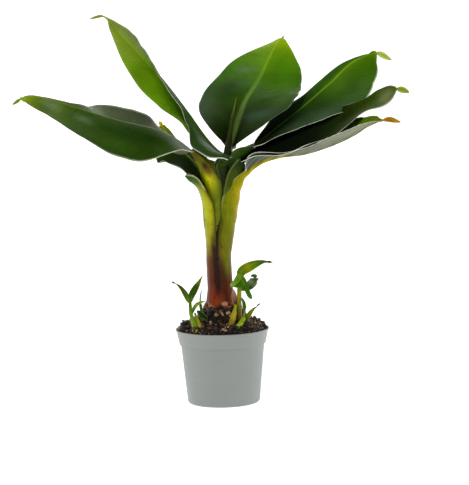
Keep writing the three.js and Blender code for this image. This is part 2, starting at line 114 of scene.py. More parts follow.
# False stem by height: how far its centre lies along X, and its radius across.
STEM_HEIGHTS, STEM_CENTRES, STEM_RADII = np.transpose([
    (57, 0, 11.2), (62, -0.4, 10.3), (66, -0.4, 9.3), (73, -0.6, 8.1), (91, -1.1, 8),
    (103, -0.8, 8.1), (111, -0.3, 8.7), (119, 0.5, 9.5), (128, 1.4, 11.2), (134, 1.6, 11.6),
])
STEM_DEPTH_SHARE = 0.9
STEM_FOOT = 57.0
STEM_TOP = 131.0
STEM_TUCK_FROM = 104.0
STEM_TUCK = 0.42
FOLDS_FROM = 58.0
FOLDS_RISE = 70.0
STALK_TONES_FROM = 98.0
STALK_TONES_RISE = 22.0
STEM_ROWS = 300
STEM_SIDES = 200

# Folds between the stem's sheaths: turn about it and drift up it in degrees, depth, and spread in degrees.
SHEATH_FOLDS = [
    (-112, 6, 0.9, 7), (-60, -6, 0.35, 8), (150, -10, 0.6, 7), (60, 8, 0.7, 8), (8, 6, 0.4, 6),
]

# The stem's colours from foot to top, and its streaks: turn and spread in degrees, lowest and highest
# height, colour and strength.
STEM_TONES = "#7a2c0e #6a260c #5c240e #5c2c0e #66480c #84840a #868a0a #5a5a10"
STEM_STREAKS = [
    (-150, 34, 92, 131, "#9a960a", 0.9), (-48, 34, 76, 131, "#686c04", 0.9),
    (-10, 22, 92, 131, "#6f6406", 0.8), (-5, 14, 56, 86, "#6f4440", 0.7),
    (-118, 20, 54, 74, "#a03c18", 0.7), (-84, 14, 54, 74, "#a8481c", 0.5),
    (-76, 14, 58, 92, "#3a1810", 0.7), (-103, 17, 62, 121, "#1c0a14", 0.95),
    (-84, 9, 96, 128, "#3c4208", 0.7), (-172, 12, 54, 76, "#5f4058", 0.6),
    (160, 34, 96, 131, "#8a900e", 0.8), (70, 40, 90, 131, "#7a800c", 0.8),
    (120, 14, 64, 116, "#2f1412", 0.8), (30, 12, 62, 108, "#2c1014", 0.7),
]

# Knobs on and round the stem's foot, where roots start: turn in degrees, distance from the axis, height,
# size and colour.
KNOBS = [
    (-141, 9.2, 63.6, 1.5, "#c88f70"), (-130, 9.6, 62.4, 1.6, "#b87c5c"),
    (-116, 9.6, 61.8, 1.4, "#8a4a28"), (-103, 9.4, 62.8, 1.2, "#7a3a1c"),
    (-86, 9.6, 63, 1.5, "#c08468"), (-76, 9.8, 63.4, 1.6, "#b87c60"), (-64, 10, 62, 1.5, "#9a6444"),
    (-50, 10, 63, 1.4, "#8a5038"), (-36, 10.2, 62, 1.6, "#7a4430"), (-74, 14.6, 58.6, 1.4, "#c8a078"),
    (-69, 16.4, 56.8, 1.5, "#b88c60"), (-64, 17.8, 55.4, 1.3, "#d0ac84"),
    (-92, 14, 59.4, 1.2, "#8a5a38"), (-104, 15.6, 57.8, 1.2, "#a8805c"),
    (-122, 14.4, 58.6, 1.2, "#9a7450"), (-160, 9.6, 62.2, 1.6, "#6f4a44"),
    (-15, 9.8, 62.4, 1.6, "#8a5a48"), (14, 9.8, 62, 1.5, "#7a4830"), (48, 9.6, 62.6, 1.7, "#8f5a3c"),
    (86, 9.2, 62.2, 1.6, "#7a4430"), (125, 9.6, 62.6, 1.7, "#9a6444"), (163, 9.8, 62, 1.6, "#7f4c38"),
    (70, 15, 58, 1.5, "#b88c60"), (150, 15.4, 57.6, 1.4, "#a87c54"),
]
KNOB_SEED = 5

# Blade mesh: places along the midrib, and cells from the midrib to each margin.
BLADE_PLACES = 250
BLADE_CELLS = 27
BLADE_THICKNESS = 0.42
MARGIN_THICKNESS = 0.22
MARGIN_TAPER = 1.5
MARGIN_COLOUR = "#f2f4e0"
EASE_WIDTH_SHARE = 0.25
CURL_POWER = 1.5
ROLL_START = 0.86
DRIP_WIDTH = 2.4
LEAST_WIDTH = 0.12
VEIN_SPACING = 2.9
VEIN_RELIEF = 0.05
VEIN_BOW = 0.35
RUFFLE_LENGTH = 6.1
SWELL_LENGTH = 15.0
WAVE_FADE_SHARE = 0.12

# Each large leaf. The spine runs from the blade's base to its tip. base and tip say how full its outline
# is at either end, drip is the share of a narrow drip tip, tip_width its width and twist its turn. Lists
# run evenly from base to tip. tilt lifts each half from the flat, curl bends it on towards its margin and
# roll turns up its last part, in degrees. wide scales a half's width, and edge is how pale its margin is,
# over edge_width. rib is the midrib's radius at the base, ribs its colours and keel its colour underneath.
# tones are the face's colours, point is the tip's and under the other face's. veins is how close the side
# veins stand and sweep leans them. wave is how high the blade's waves are, and finish names its gloss.
# Each mark is a soft patch of colour: its place, its share across (left is negative), both spreads, its
# colour and strength. Some marks are a leaf's own tones, and others are painted sheen, painted reflections
# and painted shade.
LEAVES = {
    "left": dict(
        spine=[(-16.5, -4, 162), (-25.5, -6, 169), (-37, -10, 175.5), (-60.5, -17, 182.5),
            (-89, -24, 191.5), (-105.5, -27, 197), (-117.5, -29, 198.5), (-125.5, -30, 194)],
        half_width=31.5, base=0.34, tip=0.52, drip=0.05, tip_width=1, twist=-60,
        tilt_left=(-14, -29, -32, -24), tilt_right=(-42, -37, 27, 10),
        curl_left=(18, -43, 6, 0), curl_right=(112, 150, -62, 0),
        wide_left=(1.1, 1, 1, 1.04, 1.13, 1.1, 0.96, 0.95, 1),
        wide_right=(1.9, 1.6, 1.3, 1.1, 1, 0.95, 0.7, 0.4, 0.25, 0.2, 0.2),
        edge_left=(1, 1, 0.5, 0.1, 0, 0), edge_right=(0.8, 0.7, 0.3, 0.1, 0.1),
        rib=0.8, ribs="#8f9a70 #7f8f50 #6f8a20 #9ab410", sweep=0.5, finish="soft", wave=0.5,
        tones="#33440e #2c4a0a #26440a #304e0c #4c6a10 #7a9414", point="#8a9a14", keel="#6f8a14",
        under="#5f6644",
        # The three grey-mauve marks on the right half paint a glancing reflection over the half's own mauve
        # tone; the grey-green marks at 0.62 and 0.79 are painted sheen.
        marks=[(0.1, 0.8, 0.14, 0.5, "#a8a098", 0.85), (0.34, 0.8, 0.14, 0.5, "#6f7c5c", 0.85),
            (0.5, 0.7, 0.1, 0.5, "#7a8464", 0.8), (0.62, -0.35, 0.05, 0.14, "#6a8458", 0.6),
            (0.79, -0.3, 0.05, 0.3, "#7f8f62", 0.7), (0.3, -0.45, 0.12, 0.3, "#1e3606", 0.8),
            (0.5, -0.75, 0.2, 0.2, "#3c5a18", 0.6), (0.95, 0, 0.045, 1, "#9fb412", 0.8)]),
    "upper_left": dict(
        spine=[(7, 0, 154), (-2.5, 2, 161), (-10.5, 5, 171), (-19, 9, 184), (-34, 17, 205),
            (-54.5, 27, 228), (-64.5, 31, 238.5), (-71.5, 34, 247), (-81, 36, 246)],
        half_width=17.5, base=0.42, tip=0.85, drip=0.07, tip_width=0.9, twist=-60,
        tilt_left=(-20, -14, -34, 8),
        tilt_right=(140, 160, 165, 160, 148, 147, 142, 126, 108, 85, 55, 30, 15),
        curl_left=(0, 8, -36, 6), curl_right=(80, 80, 80, 66, 40, 42, 44, 52, 60, 60, 62, 64, 65),
        wide_left=(0.5, 0.5, 0.58, 1.12, 1.12, 1.08, 1.1, 1.1, 1),
        wide_right=(1.6, 1.15, 0.45, 0.5, 0.4, 0.85, 1, 1, 1),
        edge_left=(0.1, 0.1, 0), edge_right=(1, 1, 1, 0.4, 0.3, 0.2), edge_width=0.6,
        rib=1.5, ribs="#3f5a10 #6f9a10 #a8cc14 #a8c414 #8fa01c", sweep=0.9, finish="glossy", wave=0.35,
        tones="#4a5e1c #64880f #6ea008 #78a40c #94b03a #b4c04c", point="#8f9a2c", keel="#3f5a14",
        under="#2f4a1c",
        # The grey-green mark at place 0.72 is painted sheen along the right edge.
        marks=[(0.1, 0.4, 0.05, 0.2, "#8a9484", 0.8), (0.42, -0.4, 0.14, 0.3, "#5c880a", 0.7),
            (0.72, 0.6, 0.16, 0.5, "#7f8a6a", 0.8), (0.3, -0.3, 0.08, 0.5, "#4c7408", 0.8),
            (0.58, -0.7, 0.1, 0.3, "#5c8a0a", 0.7), (0.72, -0.3, 0.08, 0.4, "#84a42c", 0.6),
            (0.9, 0, 0.06, 1, "#84944a", 0.7)]),
    "centre": dict(
        spine=[(8, 9.8, 162.7), (14, 20, 181), (18, 28, 190), (28, 47, 205), (39.5, 68, 225.5),
            (45, 73, 232)],
        half_width=30, base=0.51, tip=0.61, drip=0.02, tip_width=0.3, twist=0,
        tilt_left=(49, 11, 6, -4), tilt_right=(14, 17, -20, -20),
        curl_left=(16, -6, 3, -3), curl_right=(10, -35, 10, -30),
        wide_left=(1.1, 1.05, 1, 1, 1), wide_right=(0.8, 1.2, 1.27, 1.22, 1.08, 1, 0.99, 0.93, 1),
        edge_left=(0.1, 0.1, 0), edge_right=(0.2, 0.1, 0),
        rib=2.5, ribs="#5c7038 #66803c #6f9a30 #8cb81c #9cc010", sweep=0.3, finish="soft", wave=0.4,
        tones="#1c2a0c #22380a #2e500e #40700c #54860a #9aba08", point="#5a4a14", keel="#5f7a20",
        under="#5f7048",
        # The grey-green marks on this leaf are painted sheen.
        marks=[(0.3, -0.85, 0.16, 0.2, "#42583a", 0.7), (0.66, -0.45, 0.04, 0.3, "#5c7c50", 0.75),
            (0.52, -0.3, 0.035, 0.2, "#4c6a44", 0.6), (0.2, 0.5, 0.04, 0.35, "#46604a", 0.6),
            (0.34, 0.85, 0.1, 0.2, "#4f6c3c", 0.6), (0.44, -0.55, 0.09, 0.25, "#1f3c04", 0.9),
            (0.12, 0, 0.08, 0.3, "#1c280c", 0.8), (0.7, 0.5, 0.12, 0.3, "#4c8a08", 0.6),
            (0.48, 0.6, 0.13, 0.35, "#52801a", 0.55), (0.22, -0.6, 0.07, 0.3, "#3f5430", 0.6)]),
    "upper_right": dict(
        spine=[(21.5, 3, 162), (36.5, 7, 173.5), (52.5, 12, 185), (72.5, 18, 201), (88, 22, 214.5),
            (103, 26, 219.5), (113, 28, 215)],
        half_width=26, base=0.8, tip=0.52, drip=0.095, tip_width=1.9, twist=62,
        tilt_left=(12, 8, 2, 0, -7), tilt_right=(-20, -21, -46, -50),
        curl_left=(-8, -5, -3, -4), curl_right=(0, 2, 0, -6),
        wide_left=(1, 1.1, 1.05, 1, 1), wide_right=(1, 0.82, 0.9, 1.18, 1.15, 1.1, 1.1, 1.1, 1),
        roll_right=(40, 45, 50, 40, 20),
        edge_left=(0.7, 0.6, 0.3), edge_right=(1, 1, 1, 0.8, 0.4), edge_width=1.7,
        rib=1, ribs="#1c2810 #3c5c18 #7aa81c #8cb818 #8cb010", sweep=0.6, finish="matt", wave=0.5,
        # Near-black tones at the base and the near-black and slate marks paint shade on this leaf; the pale
        # grey-blue mark is a painted highlight on the left margin, and the grey-green marks are painted
        # reflections.
        tones="#0e140a #18280c #26400f #366012 #42700a #4c7c08", point="#a4be10", keel="#4a6014",
        under="#2c3634",
        marks=[(0.12, -0.3, 0.14, 0.5, "#10120c", 0.9), (0.3, -0.6, 0.14, 0.4, "#1a2024", 0.85),
            (0.36, -0.98, 0.1, 0.1, "#9aa4ac", 0.9), (0.22, 0.2, 0.12, 0.3, "#121a0c", 0.8),
            (0.42, 0.8, 0.2, 0.25, "#4c6648", 0.8), (0.3, 0.6, 0.12, 0.3, "#3c5034", 0.7),
            (0.7, -0.6, 0.2, 0.5, "#33501c", 0.7), (0.62, 0.75, 0.14, 0.25, "#4a6c30", 0.6),
            (0.62, 0.2, 0.1, 0.3, "#4c741c", 0.5)]),
    "right": dict(
        spine=[(14.5, -2.8, 153.6), (23.5, -3, 157), (42.5, -5, 165), (64.5, -7, 176), (83.5, -10, 185.5),
            (99, -13, 193), (113, -16, 197.5), (120, -17, 195.5)],
        half_width=25, base=0.34, tip=0.55, drip=0.07, tip_width=1.9, twist=62,
        tilt_left=(30, 14, 16, 22), tilt_right=(0, -11, -22, -38),
        curl_left=(0, 0, 4, 9), curl_right=(10, 3, -9, -21),
        wide_left=(1, 0.9, 0.9, 0.9, 0.88, 0.85, 0.8, 0.62, 0.42, 0.4, 0.7, 0.9, 1),
        wide_right=(1, 1, 1.4, 1.5, 1.35, 1.05, 0.9, 1.1, 1), roll_right=(0, 20, 30, 20),
        edge_left=(0.4, 0.3, 0.2), edge_right=(0.9, 0.9, 0.8, 0.3), edge_width=1.3,
        # The near-black midrib and tones over this leaf's lower half paint the shade of the leaf above it;
        # the two grey-green marks near the tip and margin are painted sheen.
        rib=1, ribs="#10160a #141e0a #20300c #4c5c14", sweep=1.2, finish="matt", wave=0.8,
        tones="#0c110a #0d120a #0e150a #1c2c0a #3c5010 #4c6414", point="#a4b414", keel="#3f5014",
        under="#3a4230",
        marks=[(0.87, 0.3, 0.05, 0.8, "#84905c", 0.85), (0.72, 0.9, 0.15, 0.3, "#5a6a44", 0.6),
            (0.76, -0.2, 0.06, 0.6, "#2c440c", 0.8)]),
    "lower_right": dict(
        spine=[(18.1, -6.1, 147.5), (26.5, -10, 153.5), (38.5, -16, 157.5), (53, -24, 159.5),
            (69, -33, 164.5), (83, -42, 171), (92.5, -47, 177), (102.5, -52, 180.5), (111, -55, 179)],
        half_width=22, base=0.71, tip=0.84, drip=0.1, tip_width=1.6, twist=60,
        tilt_left=(30, 21, 26, 31), tilt_right=(41, 12, 14, 23),
        curl_left=(0, -6, 0, 7), curl_right=(-15, -15, -6, 2),
        wide_left=(1, 1.2, 1.3, 1.5, 1.7, 1.4, 1), wide_right=(1, 1, 0.9, 0.8, 0.72, 0.75, 0.85, 0.8, 1),
        edge_left=(0.7, 0.6, 0.4), edge_right=(0.9, 0.8, 0.5), edge_width=0.6,
        rib=1.1, ribs="#4a5a24 #5a6a30 #6f7f24 #b08a10", sweep=3.2, veins=0.09, finish="ribbed", wave=0.3,
        tones="#24380a #2c4a06 #3c5a08 #4a6a08 #5a7408", point="#c4860c", keel="#a49a08", under="#72766a",
        marks=[(0.08, 0.4, 0.08, 0.6, "#4a564a", 0.8), (0.68, 0.6, 0.2, 0.5, "#9a9c84", 0.5)]),
    "back_left": dict(
        spine=[(-9.5, 1.5, 140.5), (-12, 6, 148), (-16, 12, 153.5), (-23, 24, 159.5), (-31.5, 36, 168.5),
            (-38.5, 47, 178)],
        half_width=18.5, base=0.34, tip=0.52, drip=0.06, tip_width=1.2, twist=-40,
        tilt_left=(-10, -20, -44, -20), tilt_right=(-8, -12, -30, -13),
        curl_left=(80, 42, 0, 0), curl_right=(0, 0, 9, 4),
        wide_left=(1, 1), wide_right=(0.6, 0.85, 1.1, 1, 0.65, 0.6, 0.9),
        edge_left=(0.6, 0.4, 0.2), edge_right=(0.3, 0.2),
        rib=1, ribs="#7f9a5a #7f9a50 #6f8a30 #c4c010", sweep=0.5, finish="matt", wave=0.3,
        tones="#2c3c10 #26380c #2a420c #3c5a0c #6f8410", point="#c8b80c", keel="#5f8014", under="#3c4a2c",
        # The grey mark on the left half is painted sheen.
        marks=[(0.3, -0.6, 0.15, 0.4, "#4a5a44", 0.6)]),
}

# Finishes of leaves: gloss, and how strong the stripes of their side veins are.
LEAF_FINISHES = {"glossy": (0.05, 0.05), "soft": (0.02, 0.08), "matt": (0.0, 0.12), "ribbed": (0.0, 0.28)}

# Leaf stalks: route, half width across, half depth, and depth of the channel as a share. open is the
# channel's half angle and roll turns the section, in degrees. margins say how pale the channel's two
# margins are. Each mark has its place, turn, both spreads, colour and strength. A stalk runs from inside
# the false stem, past the fork, to the base of its blade.
STALKS = {
    "back_left": dict(
        route=[(-5, -0.4, 100), (-5.6, -1, 112), (-6.2, -1.2, 122), (-7, -0.6, 130), (-8.4, 0.4, 135),
            (-9.3, 1.5, 140.4)],
        across=(3.6, 4.4, 4.9, 4.6, 4, 2.6), deep=(3, 3.6, 4, 4, 3.4, 2),
        channel=(0, 0.1, 0.3, 0.55, 0.6, 0.5), open=72, margins=(0.8, 0.8),
        tones="#6f6a10 #8a9610 #8f9a12 #4a6a10"),
    "left": dict(
        route=[(-3, -2.6, 104), (-3, -3.4, 118), (-3, -3.8, 130), (-3, -3.9, 138), (-4, -4, 144),
            (-7.2, -4.1, 150.4), (-11.4, -4.2, 156.4), (-16.6, -4, 162.2)],
        across=(3.6, 4, 4.2, 4.3, 4.6, 4.4, 3.2, 1.7), deep=(4, 4.4, 4.8, 5.2, 6.4, 6.2, 4.2, 1.9),
        channel=(0, 0, 0, 0.04, 0.14, 0.5, 0.55, 0.45), open=52, roll=(16, 16, 20, 24, 26, 26),
        margins=(0.9, 0.1),
        # The near-black mark at place 0.79 is painted shade deep in this stalk's channel.
        marks=[(0.52, -15, 0.22, 50, "#4c5e0a", 0.95), (0.64, -102, 0.07, 34, "#dcdc0a", 0.95),
            (0.93, -95, 0.08, 60, "#5c4c0c", 0.85), (0.79, -66, 0.07, 36, "#200c0a", 0.98),
            (0.72, -70, 0.05, 20, "#6a3018", 0.7), (0.8, -30, 0.06, 20, "#9a9c1c", 0.6)],
        tones="#5f6a0c #6f7c0a #7f8a0a #9a9c08 #84880a #5a640a"),
    "upper_left": dict(
        route=[(0.6, -0.6, 104), (1.2, -1, 118), (1.9, -1.4, 130), (2.5, -1.6, 138), (2, -1.4, 145),
            (0.9, -0.6, 150.8), (4, 0.1, 155.6)],
        across=(3, 3.2, 3.4, 3.6, 4.4, 4.2, 2.6), deep=(2.6, 2.8, 3, 3.4, 4.8, 5.8, 4.6),
        channel=(0, 0, 0, 0.2, 0.3, 0.3, 0.2), open=60, margins=(0.2, 0.2),
        marks=[(0.78, -90, 0.06, 80, "#15140c", 0.9), (0.9, -90, 0.05, 80, "#4c7014", 0.8)],
        tones="#2c2a0c #2c300e #22260c #1c220c #33500e"),
    "centre": dict(
        route=[(-2.2, 3, 100), (-1.8, 4, 114), (-1.4, 4.8, 128), (0.6, 7, 140), (4.4, 9, 152),
            (8, 9.9, 162.9)],
        across=(3.4, 4, 4.2, 3.8, 3.2, 2.6), deep=(3.4, 4, 4, 3.4, 2.8, 2),
        channel=(0, 0.1, 0.4, 0.5, 0.5, 0.3), open=72, margins=(0.8, 0.8),
        tones="#6d7410 #6f7c12 #7f9a10 #5a7020"),
    "upper_right": dict(
        route=[(3.4, 2.6, 100), (4.2, 3.2, 114), (5.4, 3.9, 128), (6.2, 4.2, 140), (7.4, 4.2, 149),
            (10, 4, 155.3), (14, 3.6, 159), (21.8, 3, 162.5)],
        across=(3.2, 3.8, 4, 3.8, 3.6, 3.4, 2), deep=(3.2, 3.6, 3.8, 4.2, 4.8, 5, 1.9),
        channel=(0, 0.1, 0.3, 0.3, 0.3, 0.3, 0.3), open=60, margins=(0.12, 0.12),
        marks=[(0.63, 60, 0.05, 40, "#a4c414", 0.8)],
        tones="#4d5a0c #5f700c #56700e #3a5c12 #2a4a12"),
    "right": dict(
        route=[(2.6, -2.4, 104), (3.4, -2.8, 118), (4.6, -3, 128), (6, -3.1, 136), (7.8, -2.9, 142.5),
            (10.6, -2.8, 148.4), (14.8, -2.8, 153.8)],
        across=(3, 3.4, 3.8, 4, 4, 3.6, 2.6), deep=(2.8, 3.2, 3.6, 4.2, 5, 5.6, 5),
        channel=(0, 0, 0.1, 0.3, 0.4, 0.4, 0.3), open=60, margins=(0.25, 0.25),
        tones="#3f3c0e #4a5010 #56620c #3f520c #24380e"),
    "lower_right": dict(
        route=[(2, -1, 84), (3, -1.6, 97), (4.4, -2.2, 108), (5.5, -2.6, 119), (6.8, -3, 130),
            (10.4, -3.7, 138.5), (14.1, -4.8, 144), (18.4, -6.4, 147.6), (23.5, -8.9, 151.4)],
        across=(4, 4.6, 5.1, 5.3, 5.6, 5.4, 3.8, 2, 0.7),
        deep=(3.6, 3.8, 4.2, 4.6, 5.6, 6.2, 4.2, 2.2, 0.7),
        channel=(0, 0, 0, 0.12, 0.26, 0.36, 0.42, 0.42, 0.3), open=60, margins=(0.9, 0.9),
        marks=[(0.6, 168, 0.16, 30, "#a8940c", 0.8), (0.8, 165, 0.15, 45, "#b8a008", 0.7)],
        tones="#5a5c06 #686e04 #6c7404 #7a8204 #8f8e06 #a49a06"),
}
STALK_PLACES = 110
STALK_SIDES = 56
STALK_MARGIN_ANGLE = math.radians(9)
STALK_MARGIN_RISE = 0.1
# Painted shade, laid inside the open channel of each stalk.
CHANNEL_SHADE_COLOUR = "#2a2c0c"
STALK_MARGIN_COLOUR = "#c4c888"
SPECK_COLOUR = "#1f0e06"

# The outermost sheath wraps the left of the fork. Its front margin, its outline and its back margin
# run from its foot to its tip.
SHEATH = dict(
    front=[(-2.6, -5.4, 84), (-2.4, -7, 96), (-2.4, -8.3, 106), (-2.5, -9.2, 120), (-3.2, -9.5, 127),
        (-5.4, -9.7, 132.5), (-10.2, -9.4, 140.3), (-12.6, -8.6, 143.8), (-15.3, -7.4, 145.8),
        (-20.4, -5.5, 146.7)],
    outline=[(-7.8, -0.6, 84), (-8.6, -0.6, 96), (-9.1, -0.8, 106), (-9.8, -1, 117), (-10.4, -1, 125),
        (-11.4, -1.4, 131.5), (-13.5, -2, 137.5), (-16, -2.6, 140.5), (-18.8, -3.2, 142.6),
        (-20.9, -4, 145.6)],
    back=[(-2.6, 4.6, 84), (-2.4, 6.2, 96), (-2.6, 7.4, 106), (-3.4, 8.2, 117), (-4.6, 8, 125),
        (-6.2, 7, 131.5), (-9, 5.5, 137.5), (-11, 4.5, 140.8), (-14.5, 2.5, 144.5), (-18.8, -1.4, 147.4)],
    tones="#8f9410 #98980c #9a9a0c #a0a00c #a3a30c #a9ac0a #b0b20c #90980c #3c5e0a #1c440a")
SHEATH_ROWS = 150
SHEATH_CELLS = 60
SHEATH_THICKNESS = 0.7
SHEATH_FLANK_COLOUR = "#b08a3c"
# The sheath's rim: a dark colour low down that is painted shade along its margins, then the margin's own pale
# colour higher up.
SHEATH_RIM_SHADE_AND_PALE_COLOURS = "#2c1408 #d8d8ae"
SHEATH_INNER_COLOUR = "#4a5a14"

# The newest leaf, still rolled up.
SPEAR = dict(
    route=[(2, 1, 118), (2.6, 1.8, 132), (5.2, 4.4, 155), (8.6, 6, 176), (12.4, 8, 194)],
    radii=(2.2, 2.4, 2.5, 1.4, 0.25), tones="#14100e #120a12 #120c10 #17160c #2c360e #78801c")
# Painted light, laid on one side of the spear.
SPEAR_PAINTED_LIGHT_COLOUR = "#4f5c10"
SPEAR_WINDING = 7.0
SPEAR_STEP = 0.16
SPEAR_PLACES = 160
SPEAR_SIDES = 48

# Side shoots: plain stems that leave the soil, and the small leaves that they carry.
SHOOT_STEMS = {
    "shoot_left_stem": dict(
        route=[(-14.6, -20, 45), (-17.8, -18.6, 53.5), (-19.4, -17, 60), (-19.9, -16, 68)],
        radii=(1.7, 1.6, 1.2, 0.9),
        tones="#a8bc2c #7a941c #5c7c14 #4c6c12"),
    "shoot_left_bud": dict(
        route=[(-12.4, -19, 46), (-15.4, -17.5, 55), (-17, -16, 60)], radii=(1.9, 1.7, 0.6),
        tones="#8a7a34 #9c961c #8a8c14 #5e7412"),
    "shoot_right_stem": dict(
        route=[(11, -12.5, 48), (11, -11, 63), (11.4, -10, 72.5), (11.1, -9.4, 82)],
        radii=(1.9, 1.7, 1.4, 1),
        tones="#5c3a1a #7f6a18 #84901a #84ac1c"),
    "shoot_right_bud": dict(
        route=[(3.4, -19, 47), (7, -15.8, 56), (9, -13, 64)], radii=(2.3, 1.9, 0.9),
        tones="#a08a40 #8a701c #a8a01c #94a01c"),
    "shoot_right_stub": dict(
        route=[(6, -22, 46), (11.2, -18.2, 52), (14, -16, 56)], radii=(1.9, 1.7, 1.3),
        tones="#d3de62 #b4cc28 #a0c01c #88ac1c"),
}
SHOOT_STEM_PLACES = 70
SHOOT_STEM_SIDES = 32

# Small leaves of the shoots. full says how full the outline is at base and tip, tilt lifts both halves and
# turn rolls the whole leaf about its midrib, in degrees. Other words are as for the large leaves.
SHOOT_LEAVES = {
    "shoot_left_leaf_outer": dict(
        spine=[(-19.9, -16.1, 66.2), (-22.4, -16.5, 72), (-25, -17, 76), (-27.8, -17.5, 78.6),
            (-31.2, -18, 80.4)],
        full=(0.5, 1), drip=0.14, half_width=2.2, tilt=-10, turn=50,
        tones="#6f8a1c #4c6a12 #3c580e #3c5210 #2c3c10 #0f0a08 #0f0a08"),
    "shoot_left_leaf_inner": dict(
        spine=[(-19.7, -15.6, 66), (-18.2, -15, 71.5), (-16.2, -14, 75), (-14, -13, 78.5),
            (-11.6, -12, 83)],
        full=(0.8, 1.3), half_width=2.2, tilt=5, turn=-45,
        tones="#567a18 #2c4c10 #33500f #6f7f20 #4a3a14"),
    "shoot_left_leaf_thin": dict(
        spine=[(-18.6, -15.6, 59.5), (-16, -14.4, 64.2), (-13, -13, 66), (-10.4, -11.5, 66.4)],
        full=(0.5, 0.7), half_width=1.3, tilt=10, turn=-30,
        tones="#5f8a20 #84a83a #90ac3a #c8d08a"),
    "shoot_left_leaf_low": dict(
        spine=[(-9.4, -14.4, 54.6), (-13, -14.2, 57.4), (-15.6, -14, 61)],
        full=(0.45, 0.6), half_width=2.4, tilt=10, turn=40,
        tones="#12200c #1c300e #22400e #2c4c10"),
    "shoot_left_sliver": dict(
        spine=[(-12.6, -11.4, 57), (-13.4, -11, 66), (-12.6, -10.5, 73.6)],
        full=(0.5, 0.8), half_width=0.9, tilt=10, turn=50,
        tones="#3c5a1c #3f6420 #5a7f40 #4a6a20"),
    "shoot_right_leaf_long": dict(
        spine=[(11.2, -9.2, 80.4), (13.4, -8.5, 85), (17, -8, 87.4), (22, -7, 89.2), (27.5, -5.5, 90.1),
            (33.2, -4, 89.5)],
        full=(0.7, 1.3), drip=0.13, half_width=3.8, tilt=-20, turn=-45,
        tones="#5f8414 #6a8410 #8f960c #5f800c #4a680c #3c500c #100c0a #100c0a"),
    "shoot_right_leaf_hanging": dict(
        spine=[(10.6, -10.8, 83.4), (13.2, -12.4, 80), (15.2, -13, 76), (17.2, -12.8, 71.5),
            (19.3, -12.4, 67.4)],
        full=(0.6, 0.7), half_width=4.2, tilt=-20, turn=-60,
        wide_left=(0.8, 0.6, 0.4, 0.4, 0.6), wide_right=(1.4, 2.2, 2.4, 1.5, 0.7, 0.4, 0.5, 0.7, 1),
        tones="#6f901c #44700c #33600a #3c6c0a #5a8614"),
    "shoot_right_leaf_folded": dict(
        spine=[(12.8, -13.4, 81.6), (9.2, -14.2, 78.9), (5.8, -14.6, 76.6)],
        full=(0.8, 0.5), half_width=1.5, tilt=-10, turn=60,
        tones="#4a780c #5a8614 #7a9c2c #a4b458"),
    "shoot_right_leaf_curled": dict(
        spine=[(12.4, -8.6, 72.6), (17.5, -5.4, 74.3), (20.6, -3.5, 77), (21.6, -3, 79.6),
            (18.8, -2.5, 80.8)],
        full=(0.5, 0.5), half_width=3.2, tilt=15, turn=-45,
        tones="#54701c #4c6c1c #8a9c7a #5c7834 #100c0c"),
    "shoot_right_leaf_narrow": dict(
        spine=[(14, -15.4, 55.4), (14.6, -14.6, 61.5), (14, -13.6, 65.5), (12.8, -12.4, 68.4)],
        full=(0.5, 0.7), half_width=1.3, tilt=10, turn=40,
        tones="#6a8f1c #4a7018 #33581a #4a7018"),
    "shoot_right_leaf_low": dict(
        spine=[(14.6, -14.2, 53.4), (18.6, -13.2, 59), (21.4, -13, 62), (24.4, -13, 64.6)],
        full=(0.5, 0.9), drip=0.2, half_width=1.8, tilt=10, turn=-45,
        tones="#2c1c10 #8a8a1c #7f941c #1c140c #0c0908"),
    "shoot_right_husk": dict(
        spine=[(9.4, -10.6, 60), (8.4, -11.2, 66), (7.6, -11, 73.4)],
        full=(0.5, 0.5), half_width=1.7, tilt=-10, turn=55,
        tones="#4c2824 #84504a #a06a60 #b88c74"),
}
SHOOT_CREASE = (22, 16, 12)
SHOOT_CURL = (-10, -18, -10)
SHOOT_PLACES = 60
SHOOT_CELLS = 9
SHOOT_THICKNESS = 0.3
CREASE_COLOUR = "#b4cc5a"
SHOOT_UNDER_COLOUR = "#8fa070"
SHOOT_RIM_COLOUR = "#9ab03c"


def linear(code):
    """A screen colour such as #336600 as linear red, green and blue."""
    value = np.array([int(code[k:k + 2], 16) for k in (1, 3, 5)]) / 255
    return np.where(value <= 0.04045, value / 12.92, ((value + 0.055) / 1.055) ** 2.4)


def smooth(x):
    """A soft step from 0 to 1."""
    x = np.clip(x, 0, 1)
    return x * x * (3 - 2 * x)


def mix(a, b, share):
    """A value between two, by the second one's share."""
    return a + (b - a) * share


def keyed(values, place):
    """Evenly spaced key values, numbers or colours, with a smooth change from each to the next."""
    values = np.asarray(values, float)
    x = np.clip(place, 0, 1) * (len(values) - 1)
    k = np.minimum(x.astype(int), len(values) - 2)
    share = smooth(x - k)
    if values.ndim > 1:
        share = share[..., None]
    return mix(values[k], values[k + 1], share)


def tones_at(codes, place):
    """Colours at places from 0 to 1, from a text of evenly spaced screen colours."""
    return keyed([linear(code) for code in codes.split()], place)


def stained(tint, code, share):
    """Tints turned towards a screen colour, by a share for each."""
    return mix(tint, linear(code), share[..., None])


def gap_between(angle, turn):
    """Degrees from a turn in degrees to an angle in radians, the short way round."""
    return np.degrees(np.angle(np.exp(1j * (angle - np.radians(turn)))))


